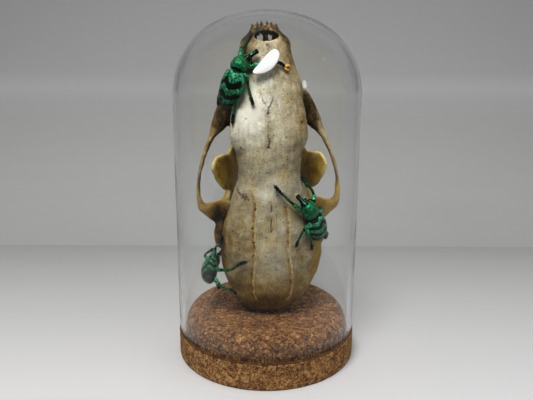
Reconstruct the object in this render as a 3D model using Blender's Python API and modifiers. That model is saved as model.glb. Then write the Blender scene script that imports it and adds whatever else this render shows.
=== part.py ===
"""Pine marten skull standing on a cork base under a glass dome, with three metallic weevils on it.

Metres, +Z up. The origin is the middle of the cork's underside. The skull stands on its occiput with the
snout up, and its top side faces -Y. Skull shapes are given in a skull frame of their own: X to the side, Y
from the top side (negative) to the palate side (positive), Z from the occiput to the incisors.
"""
import math

import bmesh
import bpy
import numpy as np
from mathutils import Matrix, Vector

MM = 0.001
COLLECTION = "pine_marten_skull"
GAP = 0.3 * MM

# Cork base
BASE_RADIUS = 28.2 * MM
BASE_HEIGHT = 8.4 * MM
BASE_EDGE = 0.5 * MM
PLUG_RADIUS = 26.0 * MM
PLUG_TOP = 14.8 * MM
PLUG_SHOULDER = 4.3 * MM

# Glass dome
DOME_RADIUS = 28.0 * MM
DOME_WALL = 1.5 * MM
DOME_RIM = BASE_HEIGHT + GAP
DOME_SHOULDER = 81.5 * MM
DOME_TOP = 106.3 * MM
DOME_FULLNESS = 2.15
RIM_EDGE = 0.4 * MM
TURNED_SIDES = 36
CAP_STEPS = 8

# Skull pose on the plug: it leans a little to its right and turns a little on its own axis
SKULL_FOOT = (2.0 * MM, 0.0, PLUG_TOP + GAP)
SKULL_LEAN = math.radians(-1.75)
SKULL_TURN = math.radians(3.0)
OCCIPUT_SHIFT = -1.3
OCCIPUT_REACH = 20.0

# Stations of the skull's main body in mm: height along the skull, half width, depth of the widest line,
# depth of the top side, depth of the under side, squareness
BRAINCASE = (
    (0.0, 3.4, -1.8, -5.2, 2.0, 2.1),
    (0.6, 6.2, -1.4, -7.0, 4.4, 2.2),
    (2.4, 9.0, -1.0, -8.8, 7.2, 2.2),
    (6.0, 12.0, -0.8, -10.6, 8.8, 2.2),
    (13.0, 15.1, -0.8, -12.3, 9.6, 2.2),
    (20.0, 15.8, -1.0, -13.0, 9.6, 2.2),
    (27.0, 14.8, -1.5, -13.2, 9.4, 2.2),
    (34.0, 12.4, -2.2, -12.9, 9.1, 2.2),
    (40.0, 10.4, -3.4, -12.5, 8.8, 2.2),
    (45.0, 9.1, -5.0, -12.0, 6.0, 2.3),
    (50.0, 9.7, -6.5, -11.6, 1.5, 2.4),
    (55.5, 11.4, -7.0, -11.0, -2.0, 2.5),
    (61.0, 10.9, -6.0, -10.1, -1.5, 2.5),
    (66.0, 10.4, -4.6, -9.0, 0.5, 2.4),
    (70.0, 10.3, -2.6, -8.0, 5.0, 2.3),
    (73.5, 9.0, -0.6, -6.9, 7.6, 2.3),
    (77.0, 8.2, 0.6, -5.6, 8.3, 2.3),
    (80.5, 7.7, 1.6, -4.2, 8.6, 2.3),
    (82.3, 7.5, 2.4, -3.2, 8.6, 2.3),
    (83.6, 7.1, 3.2, -1.4, 8.4, 2.2),
    (84.6, 5.6, 4.2, 1.2, 7.8, 2.0),
)
ORBIT_WALL = (
    (38.0, 6.0, 3.0, -6.0, 9.0, 2.4),
    (46.0, 6.2, 2.0, -8.0, 9.6, 2.4),
    (56.0, 6.0, 2.0, -8.0, 9.8, 2.4),
    (66.0, 7.4, 2.0, -6.5, 9.6, 2.4),
    (74.0, 6.5, 2.0, -4.0, 9.0, 2.4),
)
PALATE = (
    (36.0, 4.4, 8.6, 6.0, 10.0, 2.2),
    (44.0, 5.4, 8.6, 5.6, 10.4, 2.4),
    (51.0, 7.0, 8.6, 5.6, 10.8, 2.6),
    (54.5, 9.0, 8.4, 5.4, 10.8, 2.6),
    (57.6, 12.2, 8.2, 5.2, 10.8, 2.6),
    (65.0, 12.0, 7.8, 4.2, 10.6, 2.6),
    (70.0, 10.2, 7.0, 2.4, 10.0, 2.5),
    (76.0, 8.4, 6.4, 2.0, 9.4, 2.4),
    (82.0, 7.2, 6.0, 2.4, 9.0, 2.3),
    (84.6, 5.2, 5.6, 2.8, 8.4, 2.2),
    (86.2, 4.4, 5.6, 3.6, 7.6, 2.1),
    (87.0, 2.6, 5.6, 4.6, 6.8, 2.0),
)

# Cheek arch of one side in mm: side, depth and height of its middle, then its half thickness and half depth
ARCH = (
    (8.6, 7.0, 68.5, 3.6, 2.6),
    (12.0, 7.2, 64.2, 3.8, 2.5),
    (15.0, 6.9, 59.2, 3.1, 2.4),
    (17.9, 6.0, 54.2, 1.3, 2.3),
    (20.1, 4.9, 48.6, 0.95, 2.1),
    (21.6, 4.2, 42.5, 1.0, 2.1),
    (22.0, 4.2, 36.8, 1.15, 2.1),
    (21.4, 4.6, 32.4, 1.7, 1.9),
    (19.2, 4.8, 30.9, 2.7, 1.5),
    (16.2, 4.5, 30.2, 4.1, 1.6),
    (12.0, 3.6, 29.6, 4.9, 2.2),
)

# Lumps on each side of the skull in mm, each with its middle and half sizes: ear capsule, mastoid,
# paroccipital process, occipital condyle, root of the canine tooth and the last molar
SIDE_LUMPS = (
    ((8.3, 9.6, 20.0), (4.7, 6.2, 8.2)),
    ((15.6, 3.2, 23.2), (2.5, 3.4, 4.8)),
    ((11.2, 8.2, 12.6), (1.8, 3.4, 1.9)),
    ((4.3, 6.2, 2.6), (2.7, 2.5, 2.6)),
    ((5.9, 4.6, 80.4), (1.8, 4.2, 3.0)),
    ((10.9, 11.0, 59.2), (2.6, 1.6, 1.7)),
)

# Upper teeth of one side in mm: root, tip, thickness at the root
UPPER_TEETH = (
    ((0.85, 5.2, 85.2), (0.8, 5.8, 89.6), 0.85),
    ((2.35, 5.3, 84.9), (2.3, 5.9, 89.4), 0.9),
    ((3.8, 5.6, 84.0), (3.9, 6.6, 88.6), 1.1),
    ((5.9, 7.4, 81.0), (6.1, 15.6, 82.0), 1.9),
    ((7.2, 8.6, 77.0), (7.3, 11.2, 77.2), 1.1),
    ((8.2, 8.8, 73.8), (8.4, 12.2, 74.0), 1.5),
    ((9.6, 9.0, 69.8), (9.9, 12.8, 70.2), 1.8),
    ((11.2, 9.0, 65.0), (11.7, 13.4, 65.6), 2.2),
    ((11.4, 9.0, 62.0), (11.9, 12.2, 62.2), 1.8),
)
NASAL_OPENING = ((0.0, 1.5, 82.0), (3.7, 3.6, 5.6))
PALATE_HOLE = ((1.75, 6.0, 83.9), (0.9, 5.0, 1.0))
FORAMEN_MAGNUM = ((0.0, 2.6, 0.6), (4.6, 2.9, 4.4))

# Lower jaw of one side in mm: middle of the bone, half thickness and half depth
JAW_BODY = (
    (1.0, 15.0, 79.6, 2.2, 2.6),
    (3.8, 15.6, 77.4, 2.3, 3.4),
    (6.4, 16.6, 72.0, 2.0, 3.8),
    (8.4, 17.4, 65.0, 2.0, 4.0),
    (9.6, 17.4, 57.0, 1.9, 4.2),
    (10.1, 16.4, 50.0, 1.6, 4.8),
    (11.0, 14.6, 43.0, 1.3, 4.6),
    (12.0, 13.2, 37.5, 1.1, 2.6),
    (12.3, 13.4, 34.6, 0.9, 1.2),
)
# Coronoid blade: middle, then half thickness and half length along the skull
CORONOID = (
    (10.2, 15.5, 47.5, 1.3, 7.4),
    (10.8, 10.5, 44.4, 1.1, 7.4),
    (11.8, 6.0, 43.4, 0.95, 6.8),
    (12.9, 2.0, 43.6, 0.85, 6.2),
    (14.3, -1.6, 44.9, 0.8, 5.6),
    (15.8, -4.2, 46.6, 0.75, 4.2),
    (17.0, -5.9, 48.2, 0.7, 2.4),
)
JAW_NECK = (
    (11.6, 12.0, 40.0, 1.2, 3.4),
    (12.9, 10.4, 34.6, 1.4, 2.2),
    (13.8, 9.6, 32.0, 1.6, 1.6),
)
CHIN = ((0.0, 15.2, 79.2), (3.2, 2.8, 2.2))
JAW_CONDYLE = ((14.4, 9.5, 31.4), (4.0, 1.7, 1.7))
LOWER_TEETH = (
    ((0.8, 13.4, 80.2), (0.8, 10.8, 81.9), 0.7),
    ((2.0, 13.4, 79.8), (2.0, 10.8, 81.5), 0.75),
    ((3.7, 14.4, 78.4), (4.0, 9.9, 80.6), 1.5),
    ((5.4, 14.2, 74.6), (5.4, 12.0, 74.8), 1.1),
    ((6.5, 14.4, 71.2), (6.5, 11.8, 71.4), 1.4),
    ((7.4, 14.6, 67.4), (7.4, 11.9, 67.6), 1.6),
    ((8.2, 14.8, 63.0), (8.1, 12.0, 63.6), 2.0),
    ((8.8, 14.8, 59.4), (8.7, 12.2, 59.6), 1.8),
)

# Weevils: each has a spine from its tail to its snout, the way its back faces, and its legs and feelers.
# Places are in mm from the origin.
WEEVIL_BACK = (0.55, 0.92, 1.0, 0.94, 0.7, 0.25)
WEEVIL_SHIELD = (0.8, 1.0, 0.92, 0.6)
WEEVIL_HEAD = (1.15, 1.1, 0.75, 0.6, 0.62, 0.85)
BACK_HALF_WIDTH = 3.4
BACK_HALF_HEIGHT = 3.0
SHIELD_HALF_WIDTH = 2.85
SHIELD_SQUASH = 0.95
LEG_THICKNESS = (0.45, 0.6, 0.42, 0.4, 0.46)
FEELER_THICKNESS = 0.36
LIMB_FLAT = (0.31, 0.52, 0.8)
WEEVILS = {
    "weevil_upper": {
        "back": ((-8.3, -7.9, 89.2), (-9.6, -8.3, 86.0), (-12.3, -5.2, 78.6)),
        "shield": ((-8.3, -7.9, 89.2), (-7.3, -7.2, 91.2), (-5.9, -6.8, 92.5)),
        "head": ((-6.3, -6.9, 92.1), (-4.6, -6.7, 93.6), (-2.5, -6.4, 94.9)),
        "faces": (-0.6, -0.75, 0.25),
        "legs": (
            ((-7.6, -6.6, 91.6), (-7.6, -5.4, 93.6), (-7.2, -3.9, 95.5), (-5.4, -1.6, 98.0),
             (-4.5, 0.6, 99.4)),
            ((-6.6, -7.0, 90.8), (-4.6, -7.3, 90.6), (-2.0, -7.2, 91.2), (2.8, -6.5, 91.7),
             (5.3, -5.9, 90.5)),
            ((-8.8, -8.0, 88.2), (-5.9, -9.4, 87.9), (-5.1, -9.2, 84.3), (-3.8, -10.1, 79.7)),
            ((-9.4, -8.3, 86.4), (-7.0, -9.9, 85.0), (-8.6, -9.6, 80.9), (-9.6, -9.5, 76.6),
             (-9.9, -9.3, 74.2)),
            ((-9.8, -7.6, 88.0), (-12.0, -4.2, 88.0), (-11.4, -2.2, 85.6)),
            ((-10.4, -7.6, 84.8), (-13.9, -4.0, 82.4), (-14.6, 0.2, 78.8)),
        ),
        "feelers": (((-4.3, -6.7, 93.8), (-4.4, -7.6, 92.0), (-4.1, -7.5, 90.2)),),
    },
    "weevil_right": {
        "back": ((13.2, -10.5, 47.6), (14.6, -9.7, 44.4), (15.6, -8.4, 39.6)),
        "shield": ((13.2, -10.5, 47.6), (12.3, -11.0, 49.7), (10.9, -11.6, 51.6)),
        "head": ((11.3, -11.5, 51.1), (10.0, -11.9, 52.7), (8.7, -12.2, 54.3)),
        "faces": (0.72, -0.66, 0.2),
        "legs": (
            ((11.8, -11.0, 49.6), (9.9, -11.8, 49.9), (6.0, -13.2, 53.4), (1.9, -13.3, 57.7)),
            ((12.6, -10.4, 50.0), (13.9, -8.4, 52.0), (13.5, -7.0, 54.6), (10.8, -7.3, 57.6),
             (10.4, -7.2, 59.4)),
            ((13.6, -10.4, 46.2), (10.7, -12.6, 43.6), (9.4, -13.0, 41.0), (8.5, -13.0, 38.6)),
            ((14.0, -10.0, 44.6), (12.0, -12.2, 43.4), (13.3, -10.9, 39.8), (13.7, -9.9, 36.6)),
            ((14.4, -9.8, 46.6), (16.6, -6.6, 48.6), (17.0, 0.6, 46.9)),
            ((15.0, -9.2, 43.0), (18.5, -5.8, 41.0), (18.2, -3.2, 38.2)),
        ),
        "feelers": (((10.6, -11.7, 52.0), (12.6, -10.4, 52.6), (14.4, -8.8, 51.6)),),
    },
    "weevil_left": {
        "back": ((-17.4, 0.8, 27.9), (-17.6, -3.0, 27.2), (-17.3, -7.4, 25.4)),
        "shield": ((-17.4, 0.8, 27.9), (-16.9, 3.0, 28.3), (-16.2, 5.0, 28.7)),
        "head": ((-16.5, 4.4, 28.6), (-15.8, 6.2, 29.0), (-15.0, 8.2, 29.6)),
        "faces": (-0.98, -0.1, 0.15),
        "legs": (
            ((-17.0, 2.0, 28.6), (-16.8, 0.0, 31.0), (-15.9, -2.2, 35.0), (-13.6, -7.4, 38.2),
             (-13.5, -7.2, 41.0)),
            ((-17.2, -1.6, 27.6), (-14.2, -7.0, 29.2), (-11.0, -10.9, 30.6), (-7.8, -12.7, 33.3),
             (-5.3, -13.4, 34.3)),
            ((-17.4, -4.4, 26.8), (-14.2, -7.6, 24.4), (-10.6, -9.0, 23.4), (-9.0, -9.2, 21.8)),
            ((-17.4, -3.0, 27.0), (-15.4, -6.4, 24.6), (-14.8, -4.8, 22.0)),
            ((-17.4, 2.0, 28.2), (-20.0, 2.2, 30.6), (-17.4, 5.6, 31.6)),
            ((-17.6, -1.0, 27.4), (-20.6, 0.6, 25.4), (-17.6, 2.6, 22.8)),
        ),
        "feelers": (((-15.9, 6.0, 28.9), (-17.6, 6.8, 29.6), (-18.6, 8.0, 28.6)),),
    },
}

# White leaf over the upper weevil's foreleg, in mm
LEAF_ENDS = ((-4.1, -8.9, 88.5), (3.5, -7.0, 95.3))
LEAF_HALF_WIDTH = 2.3
LEAF_SKEW = 1.35
LEAF_FULLNESS = 0.6
LEAF_THICKNESS = 0.45
LEAF_CROWN = 0.7
LEAF_FACES = (0.06, -0.93, 0.36)

CRANIUM_GRAIN = 0.55 * MM
JAW_GRAIN = 0.5 * MM
WEEVIL_GRAIN = 0.26 * MM
CRANIUM_TRIANGLES = 3350
JAW_TRIANGLES = 1150
WEEVIL_TRIANGLES = 680


def material(name, colour, roughness, metallic=0.0, transmission=0.0):
    """A Principled material."""
    made = bpy.data.materials.new(name)
    made.use_nodes = True
    shader = made.node_tree.nodes["Principled BSDF"]
    shader.inputs["Base Color"].default_value = (*colour, 1.0)
    shader.inputs["Roughness"].default_value = roughness
    shader.inputs["Metallic"].default_value = metallic
    shader.inputs["Transmission Weight"].default_value = transmission
    return made


def collection(name):
    """A new collection in the scene."""
    made = bpy.data.collections.new(name)
    bpy.context.scene.collection.children.link(made)
    return made


def add_object(name, mesh, home, finish=None):
    """An object of this mesh in a collection."""
    made = bpy.data.objects.new(name, mesh)
    home.objects.link(made)
    if finish:
        mesh.materials.append(finish)
    return made


def smooth_through(rows, count):
    """Points of a smooth curve through the rows, each row with any number of values."""
    rows = np.asarray(rows, float)
    padded = np.vstack([2 * rows[0] - rows[1], rows, 2 * rows[-1] - rows[-2]])
    place = np.linspace(0, len(rows) - 1, count)
    index = np.minimum(place.astype(int), len(rows) - 2)
    t = (place - index)[:, None]
    a, b, c, d = (padded[index + k] for k in range(4))
    return 0.5 * (2 * b + (c - a) * t + (2 * a - 5 * b + 4 * c - d) * t**2 + (3 * b - a - 3 * c + d) * t**3)


def add_rings(shape, rings):
    """Adds a closed skin over a row of rings, shaped (rings, points, 3), with a fan over each end."""
    body = bmesh.new()
    rows = [[body.verts.new(point) for point in ring] for ring in rings]
    for low, high in zip(rows, rows[1:]):
        for k in range(len(low)):
            after = (k + 1) % len(low)
            body.faces.new((low[k], low[after], high[after], high[k]))
    for ring, points in ((rows[0], rings[0]), (rows[-1], rings[-1])):
        tip = body.verts.new(points.mean(axis=0))
        for k in range(len(ring)):
            body.faces.new((ring[k], ring[(k + 1) % len(ring)], tip))
    merge(shape, body)


def merge(shape, body):
    """Adds a closed body to the shape, with its faces turned outwards."""
    bmesh.ops.recalc_face_normals(body, faces=body.faces)
    mesh = bpy.data.meshes.new("piece")
    body.to_mesh(mesh)
    body.free()
    shape.from_mesh(mesh)
    bpy.data.meshes.remove(mesh)


def add_loft(shape, stations, rings=60, points=40):
    """Adds a body along Z whose sections are rounded boxes given by the stations, in mm."""
    angle = np.linspace(0, 2 * np.pi, points, endpoint=False)
    placed = []
    for z, half, y_wide, y_top, y_under, square in smooth_through(stations, rings):
        side = np.sign(np.cos(angle)) * np.abs(np.cos(angle)) ** (2 / square)
        rise = np.sign(np.sin(angle)) * np.abs(np.sin(angle)) ** (2 / square)
        reach = np.where(rise < 0, y_wide - y_top, y_under - y_wide)
        bend = OCCIPUT_SHIFT * max(0.0, 1 - z / OCCIPUT_REACH) ** 2
        placed.append(np.stack([bend + half * side, y_wide + reach * rise, np.full(points, z)], axis=1))
    add_rings(shape, np.array(placed) * MM)


def add_sweep(shape, stations, flat, side=1, rings=40, points=14):
    """Adds a bar of oval section. Each station is a middle, a half thickness and a half size along flat."""
    rows = smooth_through(stations, rings)
    path = rows[:, :3] * (side, 1, 1)
    along = np.gradient(path, axis=0)
    along /= np.linalg.norm(along, axis=1, keepdims=True)
    tall = np.asarray(flat, float) - along * (along @ np.asarray(flat, float))[:, None]
    tall /= np.linalg.norm(tall, axis=1, keepdims=True)
    across = np.cross(along, tall)
    ends = np.sin(np.pi * np.clip(np.minimum(np.arange(rings), rings - 1 - np.arange(rings)) + 1, 0, 3) / 6)
    angle = np.linspace(0, 2 * np.pi, points, endpoint=False)[:, None]
    thick = (rows[:, 3] * ends)[:, None, None]
    high = (rows[:, 4] * ends)[:, None, None]
    add_rings(shape, (path[:, None] + thick * np.cos(angle) * across[:, None]
                      + high * np.sin(angle) * tall[:, None]) * MM)


def add_ball(shape, middle, half_sizes, side=1, segments=20):
    """Adds an ellipsoid given in mm."""
    body = bmesh.new()
    place = Matrix.Translation(Vector((middle[0] * side, middle[1], middle[2])) * MM)
    size = Matrix.Diagonal((*(Vector(half_sizes) * MM), 1.0))
    bmesh.ops.create_uvsphere(body, u_segments=segments, v_segments=segments // 2, radius=1.0,
                              matrix=place @ size)
    merge(shape, body)


def add_tooth(shape, root, tip, thick, side=1):
    """Adds a pointed tooth from its root to its tip, in mm."""
    start = Vector((root[0] * side, root[1], root[2]))
    way = Vector((tip[0] * side, tip[1], tip[2])) - start
    body = bmesh.new()
    place = Matrix.Translation((start + way * 0.4) * MM) @ way.to_track_quat("Z", "Y").to_matrix().to_4x4()
    bmesh.ops.create_cone(body, cap_ends=True, segments=12, radius1=thick * MM, radius2=thick * 0.25 * MM,
                          depth=way.length * 1.2 * MM, matrix=place)
    merge(shape, body)


def finished_mesh(obj):
    """A new mesh of the object as its modifiers leave it."""
    bpy.context.view_layer.update()
    seen = obj.evaluated_get(bpy.context.evaluated_depsgraph_get())
    return bpy.data.meshes.new_from_object(seen)


def one_skin(name, shape, home, finish, grain, triangles, pose=None):
    """Joins the shape's bodies in one skin of about so many triangles."""
    mesh = bpy.data.meshes.new(name)
    shape.to_mesh(mesh)
    shape.free()
    made = add_object(name, mesh, home, finish)
    if pose:
        made.parent = pose
    join = made.modifiers.new("join", "REMESH")
    join.mode = "VOXEL"
    join.voxel_size = grain
    soften = made.modifiers.new("soften", "SMOOTH")
    soften.factor = 0.5
    soften.iterations = 3
    joined = finished_mesh(made)
    joined.calc_loop_triangles()
    thin = made.modifiers.new("thin", "DECIMATE")
    thin.ratio = triangles / len(joined.loop_triangles)
    thin.use_collapse_triangulate = True
    bpy.data.meshes.remove(joined)
    return made


def cut(target, shape, home, name):
    """Cuts the shape's bodies out of the target."""
    mesh = bpy.data.meshes.new(name)
    shape.to_mesh(mesh)
    shape.free()
    cutter = add_object(name, mesh, home)
    cutter.parent = target.parent
    cutter.hide_render = True
    cutter.display_type = "WIRE"
    step = target.modifiers.new(name, "BOOLEAN")
    step.operation = "DIFFERENCE"
    step.object = cutter


def turned(name, profile, home, finish, sides):
    """A turned body. The profile runs down the outer side, from the axis back to the axis."""
    mesh = bpy.data.meshes.new(name)
    points = [(radius, 0.0, z) for radius, z in profile]
    mesh.from_pydata(points, [(k, k + 1) for k in range(len(points) - 1)], [])
    made = add_object(name, mesh, home, finish)
    spin = made.modifiers.new("turn", "SCREW")
    spin.steps = sides
    spin.render_steps = sides
    spin.use_merge_vertices = True
    spin.merge_threshold = 0.00001
    spin.use_smooth_shade = True
    return made


def dome_profile(radius, top, steps):
    """Points of the dome's cap from the axis down to the shoulder, a full rounded curve."""
    turn = np.linspace(0, math.pi / 2, steps)
    out = radius * np.sin(turn) ** (2 / DOME_FULLNESS)
    up = DOME_SHOULDER + (top - DOME_SHOULDER) * np.cos(turn) ** (2 / DOME_FULLNESS)
    return list(zip(out, up))


def build_base(home, finish):
    """The cork disc with its rounded plug."""
    turn = np.linspace(0, math.pi / 2, 5)
    inner = PLUG_RADIUS - PLUG_SHOULDER
    shoulder = [(inner + PLUG_SHOULDER * math.sin(a), PLUG_TOP - PLUG_SHOULDER * (1 - math.cos(a)))
                for a in turn]
    disc = [(PLUG_RADIUS, BASE_HEIGHT), (BASE_RADIUS - BASE_EDGE, BASE_HEIGHT),
            (BASE_RADIUS, BASE_HEIGHT - BASE_EDGE), (BASE_RADIUS, BASE_EDGE),
            (BASE_RADIUS - BASE_EDGE, 0.0), (0.0, 0.0)]
    return turned("cork_base", [(0.0, PLUG_TOP)] + shoulder + disc, home, finish, TURNED_SIDES)


def build_dome(home, finish):
    """The glass bell: the outer curve down to the rim and the inner curve back up."""
    outer = dome_profile(DOME_RADIUS, DOME_TOP, CAP_STEPS)
    bore = DOME_RADIUS - DOME_WALL
    inner = dome_profile(bore, DOME_TOP - DOME_WALL, CAP_STEPS)
    round_rim = [(DOME_RADIUS, DOME_RIM + RIM_EDGE), (DOME_RADIUS - RIM_EDGE, DOME_RIM),
                 (bore + RIM_EDGE, DOME_RIM), (bore, DOME_RIM + RIM_EDGE)]
    return turned("glass_dome", outer + round_rim + inner[::-1], home, finish, TURNED_SIDES)


def build_cranium(home, cutters, finish, pose):
    """The skull with its cheek arches, ear capsules and upper teeth."""
    shape = bmesh.new()
    add_loft(shape, BRAINCASE, rings=90, points=48)
    add_loft(shape, ORBIT_WALL, rings=40)
    add_loft(shape, PALATE, rings=60)
    for side in (-1, 1):
        add_sweep(shape, ARCH, (0, 1, 0), side, rings=50, points=16)
        for middle, half_sizes in SIDE_LUMPS:
            add_ball(shape, middle, half_sizes, side)
        for root, tip, thick in UPPER_TEETH:
            add_tooth(shape, root, tip, thick, side)
    made = one_skin("cranium", shape, home, finish, CRANIUM_GRAIN, CRANIUM_TRIANGLES, pose)
    hollow = bmesh.new()
    add_ball(hollow, *NASAL_OPENING)
    cut(made, hollow, cutters, "nose_cutter")
    for side, name in ((-1, "left_palate_cutter"), (1, "right_palate_cutter")):
        hole = bmesh.new()
        add_ball(hole, *PALATE_HOLE, side, segments=12)
        cut(made, hole, cutters, name)
    neck = bmesh.new()
    add_ball(neck, *FORAMEN_MAGNUM)
    cut(made, neck, cutters, "neck_cutter")
    return made


def build_jaw(home, finish, pose):
    """The lower jaw: two halves grown together at the chin, with tall blades behind and the lower teeth."""
    shape = bmesh.new()
    add_ball(shape, *CHIN)
    for side in (-1, 1):
        add_sweep(shape, JAW_BODY, (0, 1, 0), side)
        add_sweep(shape, CORONOID, (0, 0, 1), side)
        add_sweep(shape, JAW_NECK, (0, 1, 0), side, rings=16)
        add_ball(shape, *JAW_CONDYLE, side)
        for root, tip, thick in LOWER_TEETH:
            add_tooth(shape, root, tip, thick, side)
    return one_skin("lower_jaw", shape, home, finish, JAW_GRAIN, JAW_TRIANGLES, pose)


def add_bar(shape, points, sizes, flat, squash=1.0, rings=14, sides=10):
    """Adds a bar along the points, in mm, whose half width follows the sizes from end to end."""
    path = smooth_through(points, len(sizes))
    add_sweep(shape, [(*place, size * squash, size) for place, size in zip(path, sizes)], flat,
              rings=rings, points=sides)


def build_weevil(name, parts, home, finish, keep_off):
    """A weevil with its legs and feelers, trimmed back from the bone that it clings to."""
    shape = bmesh.new()
    squash = BACK_HALF_HEIGHT / BACK_HALF_WIDTH
    across = np.cross(np.subtract(parts["back"][2], parts["back"][0]), parts["faces"])
    add_bar(shape, parts["back"], np.multiply(WEEVIL_BACK, BACK_HALF_WIDTH), across, squash, 24, 20)
    shield = np.multiply(WEEVIL_SHIELD, SHIELD_HALF_WIDTH)
    add_bar(shape, parts["shield"], shield, across, SHIELD_SQUASH, 16, 18)
    add_bar(shape, parts["head"], WEEVIL_HEAD, across, 1.0, 16, 14)
    for leg in parts["legs"]:
        sizes = np.interp(np.linspace(0, 4, 12), range(5), LEG_THICKNESS)
        add_bar(shape, leg, sizes, LIMB_FLAT, rings=24)
    for feeler in parts["feelers"]:
        add_bar(shape, feeler, [FEELER_THICKNESS] * 6, LIMB_FLAT)
    made = one_skin(name, shape, home, finish, WEEVIL_GRAIN, WEEVIL_TRIANGLES)
    step = made.modifiers.new("trim", "BOOLEAN")
    step.operation = "DIFFERENCE"
    step.object = keep_off
    return made


def clearance(source, cutters):
    """A cutter of the source's shape, grown by the gap that touching pieces keep."""
    mesh = finished_mesh(source)
    mesh.transform(source.matrix_world)
    made = add_object(source.name + "_clearance", mesh, cutters)
    made.hide_render = True
    made.display_type = "WIRE"
    grow = made.modifiers.new("grow", "DISPLACE")
    grow.mid_level = 0.0
    grow.strength = GAP
    return made


def build_leaf(home, finish):
    """The thin white leaf: a bowed sheet, pointed below and rounded above, with Solidify for its wall."""
    start, end = (np.array(place) for place in LEAF_ENDS)
    faces = np.array(LEAF_FACES) / np.linalg.norm(LEAF_FACES)
    across = np.cross(end - start, faces)
    across /= np.linalg.norm(across)
    rows, columns = 9, 5
    t = np.linspace(0.02, 0.98, rows)[:, None, None]
    u = np.linspace(-1, 1, columns)[None, :, None]
    half = LEAF_HALF_WIDTH * np.sin(np.pi * t**LEAF_SKEW) ** LEAF_FULLNESS
    crown = faces * LEAF_CROWN * np.sin(np.pi * t) * (1 - u**2)
    points = start + (end - start) * t + across * u * half + crown
    points = points.reshape(-1, 3) * MM
    quads = [(r * columns + c, r * columns + c + 1, (r + 1) * columns + c + 1, (r + 1) * columns + c)
             for r in range(rows - 1) for c in range(columns - 1)]
    mesh = bpy.data.meshes.new("white_leaf")
    mesh.from_pydata(points.tolist(), [], quads)
    made = add_object("white_leaf", mesh, home, finish)
    wall = made.modifiers.new("wall", "SOLIDIFY")
    wall.thickness = LEAF_THICKNESS * MM
    wall.offset = 0.0
    return made


def main():
    """Builds every piece in an empty scene."""
    for old in list(bpy.data.objects):
        bpy.data.objects.remove(old, do_unlink=True)
    home = collection(COLLECTION)
    cutters = collection("cutters")

    cork = material("cork", (0.23, 0.12, 0.05), 0.9)
    glass = material("clear_glass", (1.0, 1.0, 1.0), 0.02, transmission=1.0)
    bone = material("skull_bone", (0.58, 0.50, 0.36), 0.55)
    jaw_bone = material("jaw_bone", (0.46, 0.35, 0.17), 0.5)
    white = material("white_sheet", (0.9, 0.9, 0.9), 0.5)

    pose = bpy.data.objects.new("skull_pose", None)
    home.objects.link(pose)
    pose.location = SKULL_FOOT
    pose.rotation_euler = (0.0, SKULL_LEAN, SKULL_TURN)

    build_base(home, cork)
    build_dome(home, glass)
    cranium = build_cranium(home, cutters, bone, pose)
    build_jaw(home, jaw_bone, pose)
    keep_off = clearance(cranium, cutters)
    for name, parts in WEEVILS.items():
        shell = material(name + "_shell", (0.01, 0.28, 0.13), 0.3, metallic=0.8)
        build_weevil(name, parts, home, shell, keep_off)
    build_leaf(home, white)


main()
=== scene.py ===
"""Looks of a pine marten skull standing on a cork base under a glass dome, with three weevils fixed on it.

The frame is the solids' own: +Z up, the origin in the middle of the cork's underside, the skull's top side
facing -Y. Lengths in this file are in millimetres, and a mesh gets them in metres.
"""
from __future__ import annotations

import sys

import logging
import math
from dataclasses import dataclass, field
from enum import Enum
from typing import Iterable, Sequence

import bpy
import numpy as np
from mathutils import Matrix, Vector

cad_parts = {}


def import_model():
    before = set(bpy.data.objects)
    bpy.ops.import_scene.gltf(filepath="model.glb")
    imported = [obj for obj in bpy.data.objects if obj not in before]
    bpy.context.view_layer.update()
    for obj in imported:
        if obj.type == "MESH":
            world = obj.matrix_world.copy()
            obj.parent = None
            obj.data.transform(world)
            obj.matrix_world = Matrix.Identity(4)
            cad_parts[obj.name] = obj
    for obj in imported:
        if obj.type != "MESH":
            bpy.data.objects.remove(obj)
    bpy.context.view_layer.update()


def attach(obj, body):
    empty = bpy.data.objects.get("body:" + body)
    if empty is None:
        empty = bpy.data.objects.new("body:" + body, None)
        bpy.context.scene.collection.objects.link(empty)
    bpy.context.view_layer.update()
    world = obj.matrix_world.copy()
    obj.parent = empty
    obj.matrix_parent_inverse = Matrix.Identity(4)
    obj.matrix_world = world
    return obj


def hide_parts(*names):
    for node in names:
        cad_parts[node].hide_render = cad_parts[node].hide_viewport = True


MM = 0.001
ROOT = "root"
GUM_BROWN = "#6b5330"
CREAM = "#cfc4a4"
Array = np.ndarray
Place = tuple[float, float, float]
Row = Sequence[float]
Rows = Sequence[Row]
Stops = Sequence[tuple[float, str]]
Mesh = bpy.types.Mesh
Piece = bpy.types.Object
Finish = bpy.types.Material
Tree = bpy.types.NodeTree
Socket = bpy.types.NodeSocket

log = logging.getLogger("marten_skull")


# Curves and surfaces


def linear(colour: str) -> tuple[float, float, float, float]:
    """Turns an sRGB hex colour into linear light.

    Each channel c becomes c / 12.92 up to 0.04045, and ((c + 0.055) / 1.055) to the power 2.4 above it.

    Args:
        colour: six hex digits after a hash.

    Returns:
        Red, green, blue and an alpha of one.
    """
    channels = (int(colour[k:k + 2], 16) / 255 for k in (1, 3, 5))
    return (*(c / 12.92 if c <= 0.04045 else ((c + 0.055) / 1.055) ** 2.4 for c in channels), 1.0)


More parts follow.
